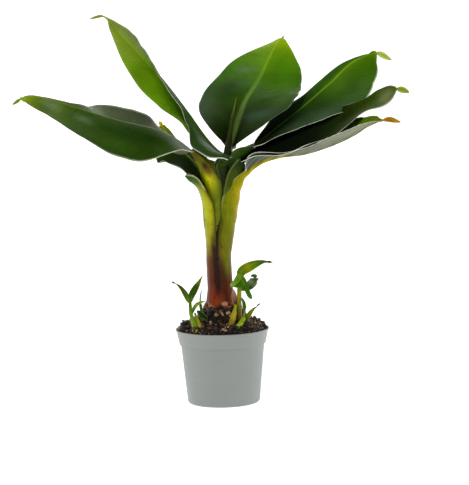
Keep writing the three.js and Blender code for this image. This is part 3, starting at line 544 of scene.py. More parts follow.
def follow(points, places):
    """Points and forward directions on a smooth curve through control points, and its length."""
    points = np.asarray(points, float)
    knots = np.concatenate([[0], np.cumsum(np.sqrt(np.linalg.norm(np.diff(points, axis=0), axis=1)))])
    points = np.vstack([2 * points[0] - points[1], points, 2 * points[-1] - points[-2]])
    knots = np.concatenate([[2 * knots[0] - knots[1]], knots, [2 * knots[-1] - knots[-2]]])
    dense = []
    for k in range(1, len(points) - 2):
        t0, t1, t2, t3 = knots[k - 1:k + 3]
        p0, p1, p2, p3 = points[k - 1:k + 3]
        t = np.linspace(t1, t2, 80, endpoint=k == len(points) - 3)[:, None]
        a1 = mix(p0, p1, (t - t0) / (t1 - t0))
        a2 = mix(p1, p2, (t - t1) / (t2 - t1))
        a3 = mix(p2, p3, (t - t2) / (t3 - t2))
        b1 = mix(a1, a2, (t - t0) / (t2 - t0))
        b2 = mix(a2, a3, (t - t1) / (t3 - t1))
        dense.append(mix(b1, b2, (t - t1) / (t2 - t1)))
    dense = np.vstack(dense)
    run = np.concatenate([[0], np.cumsum(np.linalg.norm(np.diff(dense, axis=0), axis=1))])
    slope = np.gradient(dense, run, axis=0)
    at = places * run[-1]
    point, forward = (
        np.stack([np.interp(at, run, values[:, axis]) for axis in range(3)], -1) for values in (dense, slope))
    return point, forward / np.linalg.norm(forward, axis=1)[:, None], run[-1]


def grid_faces(rows, columns, closed=False):
    """Quads of a grid of points. A closed grid joins its last column to its first."""
    row = np.arange(rows - 1)[:, None] * columns
    column = np.arange(columns if closed else columns - 1)[None, :]
    after = (column + 1) % columns
    quads = np.stack([row + column, row + after, row + columns + after, row + columns + column], -1)
    return quads.reshape(-1, 4)


def capped(rings, first, last):
    """Closed surface of rings of points, fanned in to a centre point at each end."""
    rows, sides = rings.shape[:2]
    ring = np.arange(sides)
    after = (ring + 1) % sides
    centre = np.full(sides, rows * sides)
    end = (rows - 1) * sides
    faces = [
        grid_faces(rows, sides, closed=True),
        np.stack([centre, after, ring], -1),
        np.stack([centre + 1, end + ring, end + after], -1),
    ]
    return np.vstack([rings.reshape(-1, 3), first, last]), faces


def rings_of(profile, sides):
    """Rings of points about the upright axis, one for each radius and height of a profile."""
    profile = np.asarray(profile, float)
    radius, height = profile[:, :1], profile[:, 1:]
    angle = np.linspace(0, 2 * np.pi, sides, endpoint=False)
    return np.stack([radius * np.cos(angle), radius * np.sin(angle), height + 0 * angle], -1)


def enclosed_volume(points, blocks):
    """Signed volume inside a closed surface. It is negative where the faces point inwards."""
    total = 0.0
    for block in blocks:
        corners = points[block]
        for k in range(1, block.shape[1] - 1):
            total += np.sum(corners[:, 0] * np.cross(corners[:, k], corners[:, k + 1]))
    return total / 6


def new_piece(name, points, blocks, material):
    """A smooth mesh piece, from points in metres and blocks of faces with as many corners each."""
    sizes = np.concatenate([np.full(len(block), block.shape[1], np.int32) for block in blocks])
    corners = np.concatenate([block.ravel() for block in blocks]).astype(np.int32)
    mesh = bpy.data.meshes.new(name)
    mesh.vertices.add(len(points))
    mesh.vertices.foreach_set("co", points.astype(np.float32).ravel())
    mesh.loops.add(len(corners))
    mesh.loops.foreach_set("vertex_index", corners)
    mesh.polygons.add(len(sizes))
    mesh.polygons.foreach_set("loop_start", (np.cumsum(sizes) - sizes).astype(np.int32))
    mesh.polygons.foreach_set("use_smooth", np.ones(len(sizes), bool))
    mesh.update(calc_edges=True)
    mesh.validate()
    mesh.materials.append(material)
    piece = bpy.data.objects.new(name, mesh)
    bpy.context.scene.collection.objects.link(piece)
    return piece


def add_mesh(name, points, blocks, material, slot, node=None, tint=None, grain=None):
    """A closed piece that stands for a CAD node. Tint colours its points, and veins follow its grain."""
    if enclosed_volume(points, blocks) < 0:
        blocks = [block[:, ::-1] for block in blocks]
    piece = new_piece(name, points * MM, blocks, material)
    if tint is not None:
        opaque = np.column_stack([np.clip(tint, 0, 1), np.ones(len(points))])
        colour = piece.data.color_attributes.new("tint", "FLOAT_COLOR", "POINT")
        colour.data.foreach_set("color", opaque.astype(np.float32).ravel())
        layer = piece.data.attributes.new("grain", "FLOAT_VECTOR", "POINT")
        layer.data.foreach_set("vector", grain.astype(np.float32).ravel())
    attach(piece, "root")
    if node is not None:
        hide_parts(node)


def add_rings(name, rings, ends, tint, grain, *labels):
    """A closed piece of rings of points. Its end points take tint and grain from the end rings."""
    points, blocks = capped(rings, *ends)
    layers = (np.vstack([layer.reshape(-1, 3), layer[0, 0], layer[-1, -1]]) for layer in (tint, grain))
    add_mesh(name, points, blocks, *labels, *layers)


def add_shell(name, points, normals, above, below, tints, grain, *labels):
    """A closed thin piece round a middle surface, with tints for its two faces."""
    rows, columns = points.shape[:2]
    count = rows * columns
    sheet = grid_faces(rows, columns)
    index = np.arange(count).reshape(rows, columns)
    rim = np.concatenate([index[:-1, 0], index[-1, :-1], index[:0:-1, -1], index[0, :0:-1]])
    after = np.roll(rim, -1)
    faces = np.concatenate([
        sheet, sheet[:, ::-1] + count, np.stack([rim, after, after + count, rim + count], -1)])
    sides = (points + normals * above[..., None], points - normals * below[..., None])
    outline, tint, grains = (
        np.vstack([half.reshape(-1, 3) for half in pair]) for pair in (sides, tints, (grain, grain)))
    add_mesh(name, outline, [faces], *labels, tint, grains)


class Shader:
    """A material's nodes, with short calls for the ones used here."""

    def __init__(self, name, **settings):
        self.material = bpy.data.materials.new(name)
        self.material.use_nodes = True
        self.nodes = self.material.node_tree.nodes
        self.links = self.material.node_tree.links
        self.surface = self.nodes["Principled BSDF"]
        for label, value in settings.items():
            self.surface.inputs[label.replace("_", " ")].default_value = value

    def node(self, kind, inputs, **settings):
        """A new node, with its inputs linked or set."""
        node = self.nodes.new(kind)
        for label, value in settings.items():
            setattr(node, label, value)
        for label, value in inputs.items():
            if isinstance(value, bpy.types.NodeSocket):
                self.links.new(value, node.inputs[label])
            else:
                node.inputs[label].default_value = value
        return node

    def attribute(self, name, output):
        """A vertex attribute's value."""
        return self.node("ShaderNodeAttribute", {}, attribute_name=name).outputs[output]

    def places(self):
        """Places in the part's own frame, in metres."""
        return self.node("ShaderNodeTexCoord", {}).outputs["Object"]

    def part(self, vector, axis):
        """One axis of a vector."""
        return self.node("ShaderNodeSeparateXYZ", {"Vector": vector}).outputs[axis]

    def stretched(self, vector, scale):
        """A vector multiplied by another."""
        return self.node("ShaderNodeVectorMath", {0: vector, 1: scale}, operation="MULTIPLY").outputs[0]

    def noise(self, vector, scale, detail=4.0, roughness=0.55):
        """Cloudy noise, mostly between 0.3 and 0.7."""
        inputs = {"Vector": vector, "Scale": scale, "Detail": detail, "Roughness": roughness}
        return self.node("ShaderNodeTexNoise", inputs).outputs["Fac"]

    def remap(self, value, to_low, to_high, low=0.3, high=0.7):
        """A value laid out again between two others, by default a noise."""
        inputs = {"Value": value, "From Min": low, "From Max": high, "To Min": to_low, "To Max": to_high}
        return self.node("ShaderNodeMapRange", inputs).outputs["Result"]

    def math(self, operation, a, b=0.0):
        """A sum, product or other function of numbers."""
        return self.node("ShaderNodeMath", {0: a, 1: b}, operation=operation).outputs[0]

    def blend(self, share, a, b, kind="MIX"):
        """One colour laid over another."""
        node = self.node("ShaderNodeMix", {}, data_type="RGBA", blend_type=kind)
        for socket, value in ((node.inputs[0], share), (node.inputs[6], a), (node.inputs[7], b)):
            if isinstance(value, bpy.types.NodeSocket):
                self.links.new(value, socket)
            elif isinstance(value, float):
                socket.default_value = value
            else:
                socket.default_value = (*linear(value), 1.0)
        return node.outputs[2]

    def connect(self, label, socket):
        """Feeds one of the surface's inputs."""
        self.links.new(socket, self.surface.inputs[label])

    def bump(self, first, second, share, strength, distance):
        """Relief from one height and a share of another."""
        height = self.math("ADD", first, self.math("MULTIPLY", second, share))
        inputs = {"Height": height, "Strength": strength, "Distance": distance}
        self.connect("Normal", self.node("ShaderNodeBump", inputs).outputs["Normal"])


def leaf_material(name, gloss, stripe):
    """Leaf of a given gloss: side veins along the grain, with cloudy changes of tone and of gloss."""
    shader = Shader("leaf_" + name, Specular_IOR_Level=gloss, Specular_Tint=(0.9, 1.0, 0.6, 1.0))
    rib_spacing = 0.95
    grain = shader.attribute("grain", "Vector")
    streaks = shader.noise(shader.stretched(grain, (1.3, 0.12, 1.0)), 1.0, 5.0, 0.65)
    clouds = shader.noise(shader.places(), 60.0)
    ribs = shader.math("SINE", shader.math("MULTIPLY", shader.part(grain, "X"), 2 * math.pi / rib_spacing))
    tone = shader.math("MULTIPLY", shader.remap(streaks, 0.80, 1.20), shader.remap(clouds, 0.86, 1.14))
    tone = shader.math("MULTIPLY", tone, shader.remap(ribs, 1 - stripe, 1 + stripe, -1.0, 1.0))
    shader.connect("Base Color", shader.blend(1.0, shader.attribute("tint", "Color"), tone, "MULTIPLY"))
    shader.connect("Roughness", shader.remap(clouds, 0.22, 0.38))
    shader.bump(streaks, ribs, 0.3, 0.4, 0.00025)
    return shader.material


def stalk_material():
    """Waxy stalk: lengthwise fibres, soft mottling, and a few dark specks."""
    shader = Shader("stalk", Specular_IOR_Level=0.16, Specular_Tint=(1.0, 0.95, 0.6, 1.0))
    along = shader.stretched(shader.attribute("grain", "Vector"), (0.12, 2.4, 1.0))
    fibres = shader.noise(along, 1.0, 5.0, 0.6)
    mottle = shader.noise(shader.places(), 160.0, 4.0, 0.6)
    speckle = shader.noise(shader.places(), 620.0, 2.0, 0.5)
    tone = shader.math("MULTIPLY", shader.remap(fibres, 0.76, 1.24), shader.remap(mottle, 0.84, 1.16))
    body = shader.blend(1.0, shader.attribute("tint", "Color"), tone, "MULTIPLY")
    specks = shader.remap(speckle, 0.0, 0.8, 0.66, 0.71)
    shader.connect("Base Color", shader.blend(specks, body, SPECK_COLOUR))
    shader.connect("Roughness", shader.remap(mottle, 0.26, 0.42))
    shader.bump(fibres, mottle, 0.4, 0.4, 0.0003)
    return shader.material


def pot_material():
    """Cool grey moulded plastic: satin, with fine grain, faint scuffs and a little dust."""
    shader = Shader("pot_plastic", Specular_IOR_Level=0.45)
    places = shader.places()
    cloud = shader.noise(places, 38.0)
    rings = shader.noise(shader.stretched(places, (30.0, 30.0, 900.0)), 1.0, 3.0)
    grain = shader.noise(places, 2600.0, 2.0)
    dust = shader.remap(rings, 0.0, 0.12, 0.45, 0.75)
    shader.connect("Base Color", shader.blend(dust, shader.blend(cloud, *POT_GREYS), POT_DUST_COLOUR))
    shader.connect("Roughness", shader.remap(cloud, 0.40, 0.55))
    shader.bump(shader.math("MULTIPLY", rings, 0.5), grain, 0.5, 0.25, 0.0002)
    return shader.material


def earth_material(name, dark, light, roughness=0.85):
    """Rough earthy matter between two colours."""
    shader = Shader(name, Specular_IOR_Level=0.35)
    places = shader.places()
    clumps = shader.noise(places, 420.0, 5.0, 0.65)
    fine = shader.noise(places, 1500.0, 4.0, 0.6)
    shader.connect("Base Color", shader.blend(shader.remap(clumps, 0.0, 1.0, 0.35, 0.68), dark, light))
    shader.connect("Roughness", shader.remap(fine, roughness - 0.2, roughness + 0.1))
    shader.bump(clumps, fine, 0.6, 0.9, 0.0006)
    return shader.material


def blade_width(leaf, place):
    """Half width of a blade. It narrows to nothing where the drip tip starts, and that tapers on."""
    x = np.clip(place / (1 - leaf["drip"]), 0, 1)
    peak = leaf["base"] / (leaf["base"] + leaf["tip"])

    def shape(at):
        return at ** leaf["base"] * (1 - at) ** leaf["tip"]
    blade = leaf["half_width"] * shape(x) / shape(peak)
    along = np.clip((1 - place) / leaf["drip"], 0, 1)
    drip = DRIP_WIDTH * leaf["tip_width"] * along ** 0.8 * (1 - along) ** 0.5
    return np.maximum(blade, drip) + LEAST_WIDTH


def blade_half(leaf, side, frame_at, width, place, cells):
    """Points and normals of one half of a blade, from the midrib to the margin."""
    row, right, upward = frame_at
    name = "left" if side < 0 else "right"
    drip = leaf["drip"]
    ease = smooth(width / (EASE_WIDTH_SHARE * leaf["half_width"]))
    keys = (leaf["tilt_" + name], leaf["curl_" + name], leaf.get("roll_" + name, (0, 0)))
    tilt, curl, roll = (np.radians(keyed(values, place)) * ease for values in keys)
    tilt = tilt - side * math.radians(leaf["twist"]) * smooth((place - 1 + 1.3 * drip) / (0.6 * drip))
    width = width * mix(1, keyed(leaf.get("wide_" + name, (1, 1)), place), ease)

    def angle_at(share):
        return tilt + curl * share ** CURL_POWER + roll * smooth((share - ROLL_START) / (1 - ROLL_START))
    rows, normals = [], []
    for cell in range(cells + 1):
        angle = angle_at(cell / cells)
        rows.append(row)
        normals.append(upward * np.cos(angle)[:, None] - side * right * np.sin(angle)[:, None])
        middle = angle_at((cell + 0.5) / cells)
        row = row + (side * np.cos(middle) * width / cells)[:, None] * right
        row = row + (np.sin(middle) * width / cells)[:, None] * upward
    return np.stack(rows, 1), np.stack(normals, 1)


def blade_sheet(leaf, places, cells):
    """A blade's middle surface: points, normals, place, signed share across, half width, length."""
    place = (1 - np.cos(np.pi * np.linspace(0, 1, places))) / 2
    point, forward, length = follow(leaf["spine"], place)
    right = np.cross(forward, (0, 0, 1))
    right /= np.linalg.norm(right, axis=1)[:, None]
    frame_at = (point, right, np.cross(right, forward))
    width = blade_width(leaf, place)
    left_points, left_normals = blade_half(leaf, -1, frame_at, width, place, cells)
    right_points, right_normals = blade_half(leaf, 1, frame_at, width, place, cells)
    points = np.concatenate([left_points[:, :0:-1], right_points], 1)
    normals = np.concatenate([left_normals[:, :0:-1], right_normals], 1)
    middle = left_normals[:, 0] + right_normals[:, 0]
    normals[:, cells] = middle / np.linalg.norm(middle, axis=1)[:, None]
    across = np.linspace(-1, 1, 2 * cells + 1)[None, :] + np.zeros((places, 1))
    return points, normals, place[:, None] + 0 * across, across, width[:, None] + 0 * across, length


def blade_waves(place, across, length, amount, seed):
    """Soft waves in a blade: shallow ones all over, and a ruffle that grows towards the margin."""
    reach = np.abs(across)
    ruffle = np.sin(place * length / RUFFLE_LENGTH + seed + 2.0 * across) * reach ** 3
    swell = np.sin(place * length / SWELL_LENGTH + 1.7 * seed) * np.sin(2.6 * across + seed)
    fade = smooth(place / WAVE_FADE_SHARE) * smooth((1 - place) / WAVE_FADE_SHARE)
    return amount * (0.9 * ruffle + 0.8 * swell) * fade


def midrib_radius(leaf, place):
    """Radius of a large leaf's midrib, which thins out towards the tip."""
    return leaf["rib"] * (0.2 + 0.8 * (1 - place) ** 1.4)


def midrib_hump(away, rib):
    """Round height over a midrib, from 1 in its middle to 0 at its sides."""
    return np.sqrt(np.clip(1 - (away / (rib * 1.25)) ** 2, 0, 1))


def blade_tint(leaf, place, across, width, upper):
    """Colours of one face of a blade: its tones, then its marks, which include painted sheen and painted
    shade, then its midrib and margins.
    """
    away = np.abs(across) * width
    drip = leaf["drip"]
    face = tones_at(leaf["tones"], place)
    if not upper:
        face = stained(face, leaf["under"], 1 - smooth((place - 0.85) / 0.12))
    # Marks: the leaf's own patches of tone, along with painted sheen, painted reflections and painted shade.
    for at, over, spread, reach, code, strength in leaf["marks"]:
        share = np.exp(-((place - at) / spread) ** 2 - ((across - over) / reach) ** 2)
        face = stained(face, code, strength * share)
    point = smooth((place - 1 + 1.2 * drip) / (0.4 * drip))
    face = stained(face, leaf["point"], point)
    midrib = tones_at(leaf["ribs"], place)
    glow = 0.3 * np.exp(-away / (3.5 * leaf["rib"])) * smooth((place - 0.3) / 0.5)
    near_rib = 0.9 * np.exp(-(away / midrib_radius(leaf, place)) ** 4) * (1 - point)
    face = mix(mix(face, midrib, glow[..., None]), midrib, near_rib[..., None])
    if not upper:
        keel = np.exp(-(away / (1.5 * leaf["rib"])) ** 4) * smooth((0.5 - place) / 0.4)
        face = stained(face, leaf["keel"], 0.95 * keel)
    pale = np.where(across < 0, keyed(leaf["edge_left"], place), keyed(leaf["edge_right"], place))
    edge_width = leaf.get("edge_width", 0.5)
    edge = smooth((away - width + edge_width) / (0.5 * edge_width)) * smooth(width / 3)
    return stained(face, MARGIN_COLOUR, 0.92 * pale * edge)


def add_leaf(name, leaf, material, seed):
    """A large leaf blade, with a channelled midrib, relief of its side veins, and a soft rim."""
    points, normals, place, across, width, length = blade_sheet(leaf, BLADE_PLACES, BLADE_CELLS)
    away = np.abs(across) * width
    rib = 1.3 * midrib_radius(leaf, place)
    vein = place * length - leaf["sweep"] * away - VEIN_BOW * away ** 2 / leaf["half_width"]
    vein = leaf.get("veins", 1) * vein
    uneven = 0.3 * np.sin(0.41 * vein + seed) + 0.2 * np.sin(1.13 * vein + 2 * seed)
    relief = VEIN_RELIEF * np.sin(2 * np.pi * (vein / VEIN_SPACING + uneven)) * smooth((away - rib) / 2)
    relief = relief * smooth((width - away) / MARGIN_TAPER)
    points = points + normals * (relief + blade_waves(place, across, length, leaf["wave"], seed))[..., None]
    taper = smooth((away - width + MARGIN_TAPER) / MARGIN_TAPER)
    thin = mix(BLADE_THICKNESS, MARGIN_THICKNESS, taper) / 2
    hump = rib * midrib_hump(away, rib)
    channel = 0.35 * rib * np.exp(-(away / (0.75 * rib)) ** 2)
    tints = (blade_tint(leaf, place, across, width, upper) for upper in (True, False))
    grain = np.stack([vein, away, np.sign(across) * 7 + seed * 13], -1)
    add_shell("blade_" + name, points, normals, thin + 0.12 * hump - 0.6 * channel,
              thin + 0.95 * hump + 0.2 * channel, tints, grain, material, "leaf", "leaf_" + name)


def swept(route, section_of, places, sides):
    """Rings and end points of a tube, place and angle of each point, and the tube's length.

    Its section is worked out at each place, and its sideways direction is carried back from its end.
    """
    place = np.linspace(0, 1, places)
    angle = np.linspace(0, 2 * np.pi, sides, endpoint=False)
    point, forward, length = follow(route, place)
    side = np.cross(forward[-1], (0, 0, 1))
    rings = np.empty((places, sides, 3))
    for k in reversed(range(places)):
        side = side - forward[k] * side.dot(forward[k])
        side = side / np.linalg.norm(side)
        x, y = section_of(place[k], angle)
        rings[k] = point[k] + x[:, None] * side + y[:, None] * np.cross(side, forward[k])
    place, angle = np.meshgrid(place, angle, indexing="ij")
    return rings, point[[0, -1]], place, angle, length


def round_section(radii, shape):
    """Section of a tube with keyed radii, times a shape that changes with place and angle."""
    def section(place, angle):
        reach = keyed(radii, place) * shape(place, angle)
        return reach * np.sin(angle), reach * np.cos(angle)
    return section


def stalk_section(stalk):
    """Channelled section of a stalk, with thin margins that stand up at both sides of the channel."""
    half_angle = math.radians(stalk["open"])

    def section(place, angle):
        across, deep, channel = (keyed(stalk[label], place) for label in ("across", "deep", "channel"))
        from_top = np.minimum(angle, 2 * np.pi - angle)
        dip = channel * (1 - smooth(from_top / half_angle))
        rise = STALK_MARGIN_RISE * channel
        margin = rise * np.exp(-((from_top - half_angle) / STALK_MARGIN_ANGLE) ** 2)
        ribs = 0.012 * np.sin(11 * angle + 3 * place) * smooth(from_top - half_angle)
        reach = 1 - dip + margin + ribs
        x, y = across * reach * np.sin(angle), deep * reach * np.cos(angle)
        roll = math.radians(keyed(stalk.get("roll", (0, 0)), place))
        return x * math.cos(roll) - y * math.sin(roll), x * math.sin(roll) + y * math.cos(roll)
    return section


def add_stalk(name, stalk, material):
    """A leaf stalk that rises out of the false stem, with painted shade inside its channel and pale margins
    along it.
    """
    rings, ends, place, angle, length = swept(
        stalk["route"], stalk_section(stalk), STALK_PLACES, STALK_SIDES)
    half_angle = math.radians(stalk["open"])
    from_top = np.minimum(angle, 2 * np.pi - angle)
    open_share = smooth(keyed(stalk["channel"], place) / 0.3)
    # Painted shade: the inside of the channel is darkened.
    inside = smooth(1.3 - from_top / half_angle) * open_share
    edge = np.exp(-((from_top - half_angle) / (0.5 * STALK_MARGIN_ANGLE)) ** 2) * open_share
    far, near = stalk["margins"]
    tint = stained(tones_at(stalk["tones"], place), CHANNEL_SHADE_COLOUR, 0.75 * inside)
    tint = stained(tint, STALK_MARGIN_COLOUR, np.where(angle < np.pi, far, near) * edge)
    for at, turn, spread, reach, code, strength in stalk.get("marks", ()):
        share = np.exp(-((place - at) / spread) ** 2 - (gap_between(angle, turn) / reach) ** 2)
        tint = stained(tint, code, strength * share)
    grain = np.stack([place * length, angle * 4.0, 0 * place + len(name)], -1)
    add_rings("stalk_" + name, rings, ends, low_part_tone(rings, tint), grain,
              material, "petiole", "petiole_" + name)


def add_sheath(material):
    """The outermost sheath: a thin wrap round the left of the fork, with a pale front margin, and painted
    shade along its margins low down.
    """
    along = np.linspace(0, 1, SHEATH_ROWS)
    front, outline, back = (follow(SHEATH[label], along)[0] for label in ("front", "outline", "back"))
    across = np.linspace(0, 1, SHEATH_CELLS + 1)
    turn = (np.pi * across)[None, :, None]
    centre, half = (front + back)[:, None] / 2, (front - back)[:, None] / 2
    points = centre + half * np.cos(turn) + (outline[:, None] - centre) * np.sin(turn)
    points[..., 1] += 0.25 * np.sin(9 * along)[:, None] * np.cos(np.pi * across) ** 2
    normals = np.cross(np.gradient(points, axis=0), np.gradient(points, axis=1))
    normals /= np.linalg.norm(normals, axis=-1)[..., None]
    normals *= np.sign(np.sum(normals * (outline[:, None] - centre), -1).mean())
    along, across = np.meshgrid(along, across, indexing="ij")
    margin = np.minimum(across, 1 - across) * np.linalg.norm(2 * half, axis=-1)
    high = smooth((along - 0.74) / 0.08)
    edge = np.exp(-(margin / mix(1.3, 0.5, high)) ** 2) * smooth((along - 0.2) / 0.2)
    flank = np.exp(-((across - 0.5) / 0.12) ** 2) * smooth((0.62 - along) / 0.2)
    outer = stained(tones_at(SHEATH["tones"], along), SHEATH_FLANK_COLOUR, 0.5 * flank)
    # Low down the rim is painted shade; higher up it takes the margin's own pale colour.
    rim_shade, high_rim = (linear(code) for code in SHEATH_RIM_SHADE_AND_PALE_COLOURS.split())
    outer = mix(outer, mix(rim_shade, high_rim, high[..., None]), (0.88 * edge)[..., None])
    outer = low_part_tone(points, outer)
    inner = mix(outer, linear(SHEATH_INNER_COLOUR), 0.6)
    thin = np.full(along.shape, SHEATH_THICKNESS / 2)
    grain = np.stack([110 * along, 20 * across, 0 * across], -1)
    add_shell("sheath_left", points, normals, thin, thin, (outer, inner), grain, material, "petiole", None)


def stem_tone(height, angle):
    """Colour of the false stem at a height and a turn about it."""
    tone = tones_at(STEM_TONES, (height - STEM_FOOT) / (STEM_TOP - STEM_FOOT))
    for turn, spread, low, high, code, strength in STEM_STREAKS:
        gap = gap_between(angle, turn) + 3 * np.sin(height / 7.0)
        reach = smooth((height - low) / 14) * smooth((high - height) / 10 + 0.5)
        tone = stained(tone, code, strength * np.exp(-(gap / spread) ** 4) * reach)
    return tone


def low_part_tone(points, tint):
    """Tints that turn into the false stem's own where a sheath or a stalk runs down into it."""
    x, y, height = np.moveaxis(points, -1, 0)
    across = x - np.interp(height, STEM_HEIGHTS, STEM_CENTRES)
    tone = stem_tone(height, np.arctan2(y / STEM_DEPTH_SHARE, across))
    return mix(tone, tint, smooth((height - STALK_TONES_FROM) / STALK_TONES_RISE)[..., None])


def stem_radius(height, angle):
    """Radius of the false stem, with soft lobes, the folds of its sheaths, and a tucked-in top."""
    radius = np.interp(height, STEM_HEIGHTS, STEM_RADII)
    share = np.clip((height - FOLDS_FROM) / FOLDS_RISE, 0, 1)
    radius = radius * (1 + 0.03 * share * np.cos(3 * (angle - math.radians(35))))
    for turn, drift, depth, spread in SHEATH_FOLDS:
        gap = gap_between(angle, turn + drift * share)
        radius = radius - depth * np.exp(-(gap / spread) ** 2) * share
    tuck = smooth((height - STEM_TUCK_FROM) / (STEM_TOP - STEM_TUCK_FROM))
    ripple = 0.06 * np.sin(9 * angle + 0.06 * height) + 0.04 * np.sin(17 * angle - 0.09 * height)
    return radius * (1 - STEM_TUCK * tuck) + ripple


def add_stem(material):
    """False stem: mahogany at its foot, olive and yellow-green higher up, with dark purple streaks."""
    height, angle = np.meshgrid(
        np.linspace(STEM_FOOT, STEM_TOP, STEM_ROWS),
        np.linspace(-np.pi, np.pi, STEM_SIDES, endpoint=False), indexing="ij")
    radius = stem_radius(height, angle)
    x = np.interp(height, STEM_HEIGHTS, STEM_CENTRES) + radius * np.cos(angle)
    rings = np.stack([x, STEM_DEPTH_SHARE * radius * np.sin(angle), height], -1)
    ends = ((0, 0, STEM_FOOT), (STEM_CENTRES[-1], 0, STEM_TOP + 1.0))
    grain = np.stack([height, angle * 9.0, 0 * angle], -1)
    add_rings("stem_sheaths", rings, ends, stem_tone(height, angle), grain, material, "stem", "pseudostem")


def add_spear(material):
    """The rolled leaf: a slim spear with the overlapping edge of its roll winding up it, and painted light on
    one side.
    """
    def shape(place, angle):
        turn = angle - SPEAR_WINDING * place
        return 1 - SPEAR_STEP / 2 + SPEAR_STEP * (turn % (2 * np.pi)) / (2 * np.pi)
    rings, ends, place, angle, length = swept(
        SPEAR["route"], round_section(SPEAR["radii"], shape), SPEAR_PLACES, SPEAR_SIDES)
    # Painted light: one side of the spear is tinted lighter.
    painted_light = 0.5 + 0.5 * np.sin(angle + 0.8)
    tint = stained(tones_at(SPEAR["tones"], place), SPEAR_PAINTED_LIGHT_COLOUR, 0.16 * painted_light)
    grain = np.stack([place * length, angle * 3, 0 * place], -1)
    add_rings("spear", rings, ends, tint, grain, material, "rolled_leaf", "rolled_leaf")


def add_shoot_stem(name, shoot, material):
    """A shoot's stem, with the soft edges of its sheaths."""
    def shape(place, angle):
        return 1 + 0.05 * np.cos(3 * angle + 2 * place) + 0.02 * np.cos(11 * angle)
    rings, ends, place, angle, length = swept(
        shoot["route"], round_section(shoot["radii"], shape), SHOOT_STEM_PLACES, SHOOT_STEM_SIDES)
    grain = np.stack([place * length, angle * 2, 0 * place + 3], -1)
    add_rings(name.replace("shoot", "sprout"), rings, ends, tones_at(shoot["tones"], place), grain,
              material, "shoot_stem", name)


def add_shoot_leaf(name, shoot, material, seed):
    """A small leaf of a side shoot, creased along its midrib, with a dry tip."""
    base, tip = shoot["full"]
    leaf = dict({"drip": 0.001}, **shoot, base=base, tip=tip, tip_width=0.5, twist=0.0)
    for side, turn in (("left", -shoot["turn"]), ("right", shoot["turn"])):
        leaf["tilt_" + side] = [shoot["tilt"] + turn + crease for crease in SHOOT_CREASE]
        leaf["curl_" + side] = SHOOT_CURL
    points, normals, place, across, width, length = blade_sheet(leaf, SHOOT_PLACES, SHOOT_CELLS)
    away = np.abs(across) * width
    rib = 0.35 * (0.3 + 0.7 * (1 - place))
    waves = blade_waves(place, across, length, 0.12 * shoot["half_width"], seed)
    points = points + normals * waves[..., None]
    thin = SHOOT_THICKNESS / 2
    hump = midrib_hump(away, rib)
    face = tones_at(shoot["tones"], place ** 1.25)
    upper = stained(face, CREASE_COLOUR, 0.3 * np.exp(-(away / 0.3) ** 2) * (1 - place))
    lower = mix(face, linear(SHOOT_UNDER_COLOUR), 0.25)
    rim = 0.55 * smooth((away - width + 0.5) / 0.5) * smooth((1 - place) / 0.3)
    tints = (stained(tint, SHOOT_RIM_COLOUR, rim) for tint in (upper, lower))
    grain = np.stack([away * 4, place * length * 0.3, 0 * across + seed], -1)
    slot = "husk" if name.endswith("husk") else "shoot_leaf"
    add_shell(name.replace("shoot", "sprout"), points, normals, thin - 0.1 * hump, thin + rib * hump,
              tints, grain, material, slot, name)


def rounded(profile, radius, steps=5):
    """A profile with each inner corner rounded off."""
    profile = [np.array(point, float) for point in profile]
    result = [profile[0]]
    for before, corner, after in zip(profile, profile[1:], profile[2:]):
        into, out = before - corner, after - corner
        reach = min(radius, 0.45 * np.linalg.norm(into), 0.45 * np.linalg.norm(out))
        start = corner + into / np.linalg.norm(into) * reach
        end = corner + out / np.linalg.norm(out) * reach
        for t in np.linspace(0, 1, steps):
            result.append((1 - t) ** 2 * start + 2 * t * (1 - t) * corner + t ** 2 * end)
    return result + [profile[-1]]


def add_pot(material):
    """The pot, turned from a profile that runs under its foot, up its outside and down its inside."""
    profile = [
        (0, 0), (POT_FOOT_RADIUS - 0.2, 0), (POT_FOOT_RADIUS + 0.55, 1.1),
        (POT_NECK_RADIUS, POT_BAND_FOOT - 0.1), (POT_BAND_RADIUS + 0.1, POT_BAND_FOOT - 0.1),
        (POT_RIM_RADIUS - 0.7, POT_HEIGHT - 1.2), (POT_RIM_RADIUS, POT_HEIGHT - 0.85),
        (POT_RIM_RADIUS, POT_HEIGHT), (POT_RIM_RADIUS - POT_WALL, POT_HEIGHT),
        (POT_BAND_RADIUS - POT_WALL, POT_BAND_FOOT + POT_WALL), (POT_NECK_RADIUS - POT_WALL, POT_BAND_FOOT),
        (POT_FOOT_RADIUS - POT_WALL, POT_FLOOR), (0, POT_FLOOR),
    ]
    rings = rings_of(rounded(profile, POT_ROUND)[1:-1], POT_SIDES)
    points, blocks = capped(rings, (0, 0, 0), (0, 0, POT_FLOOR))
    add_mesh("nursery_pot", points, blocks, material, "pot_plastic", "pot")


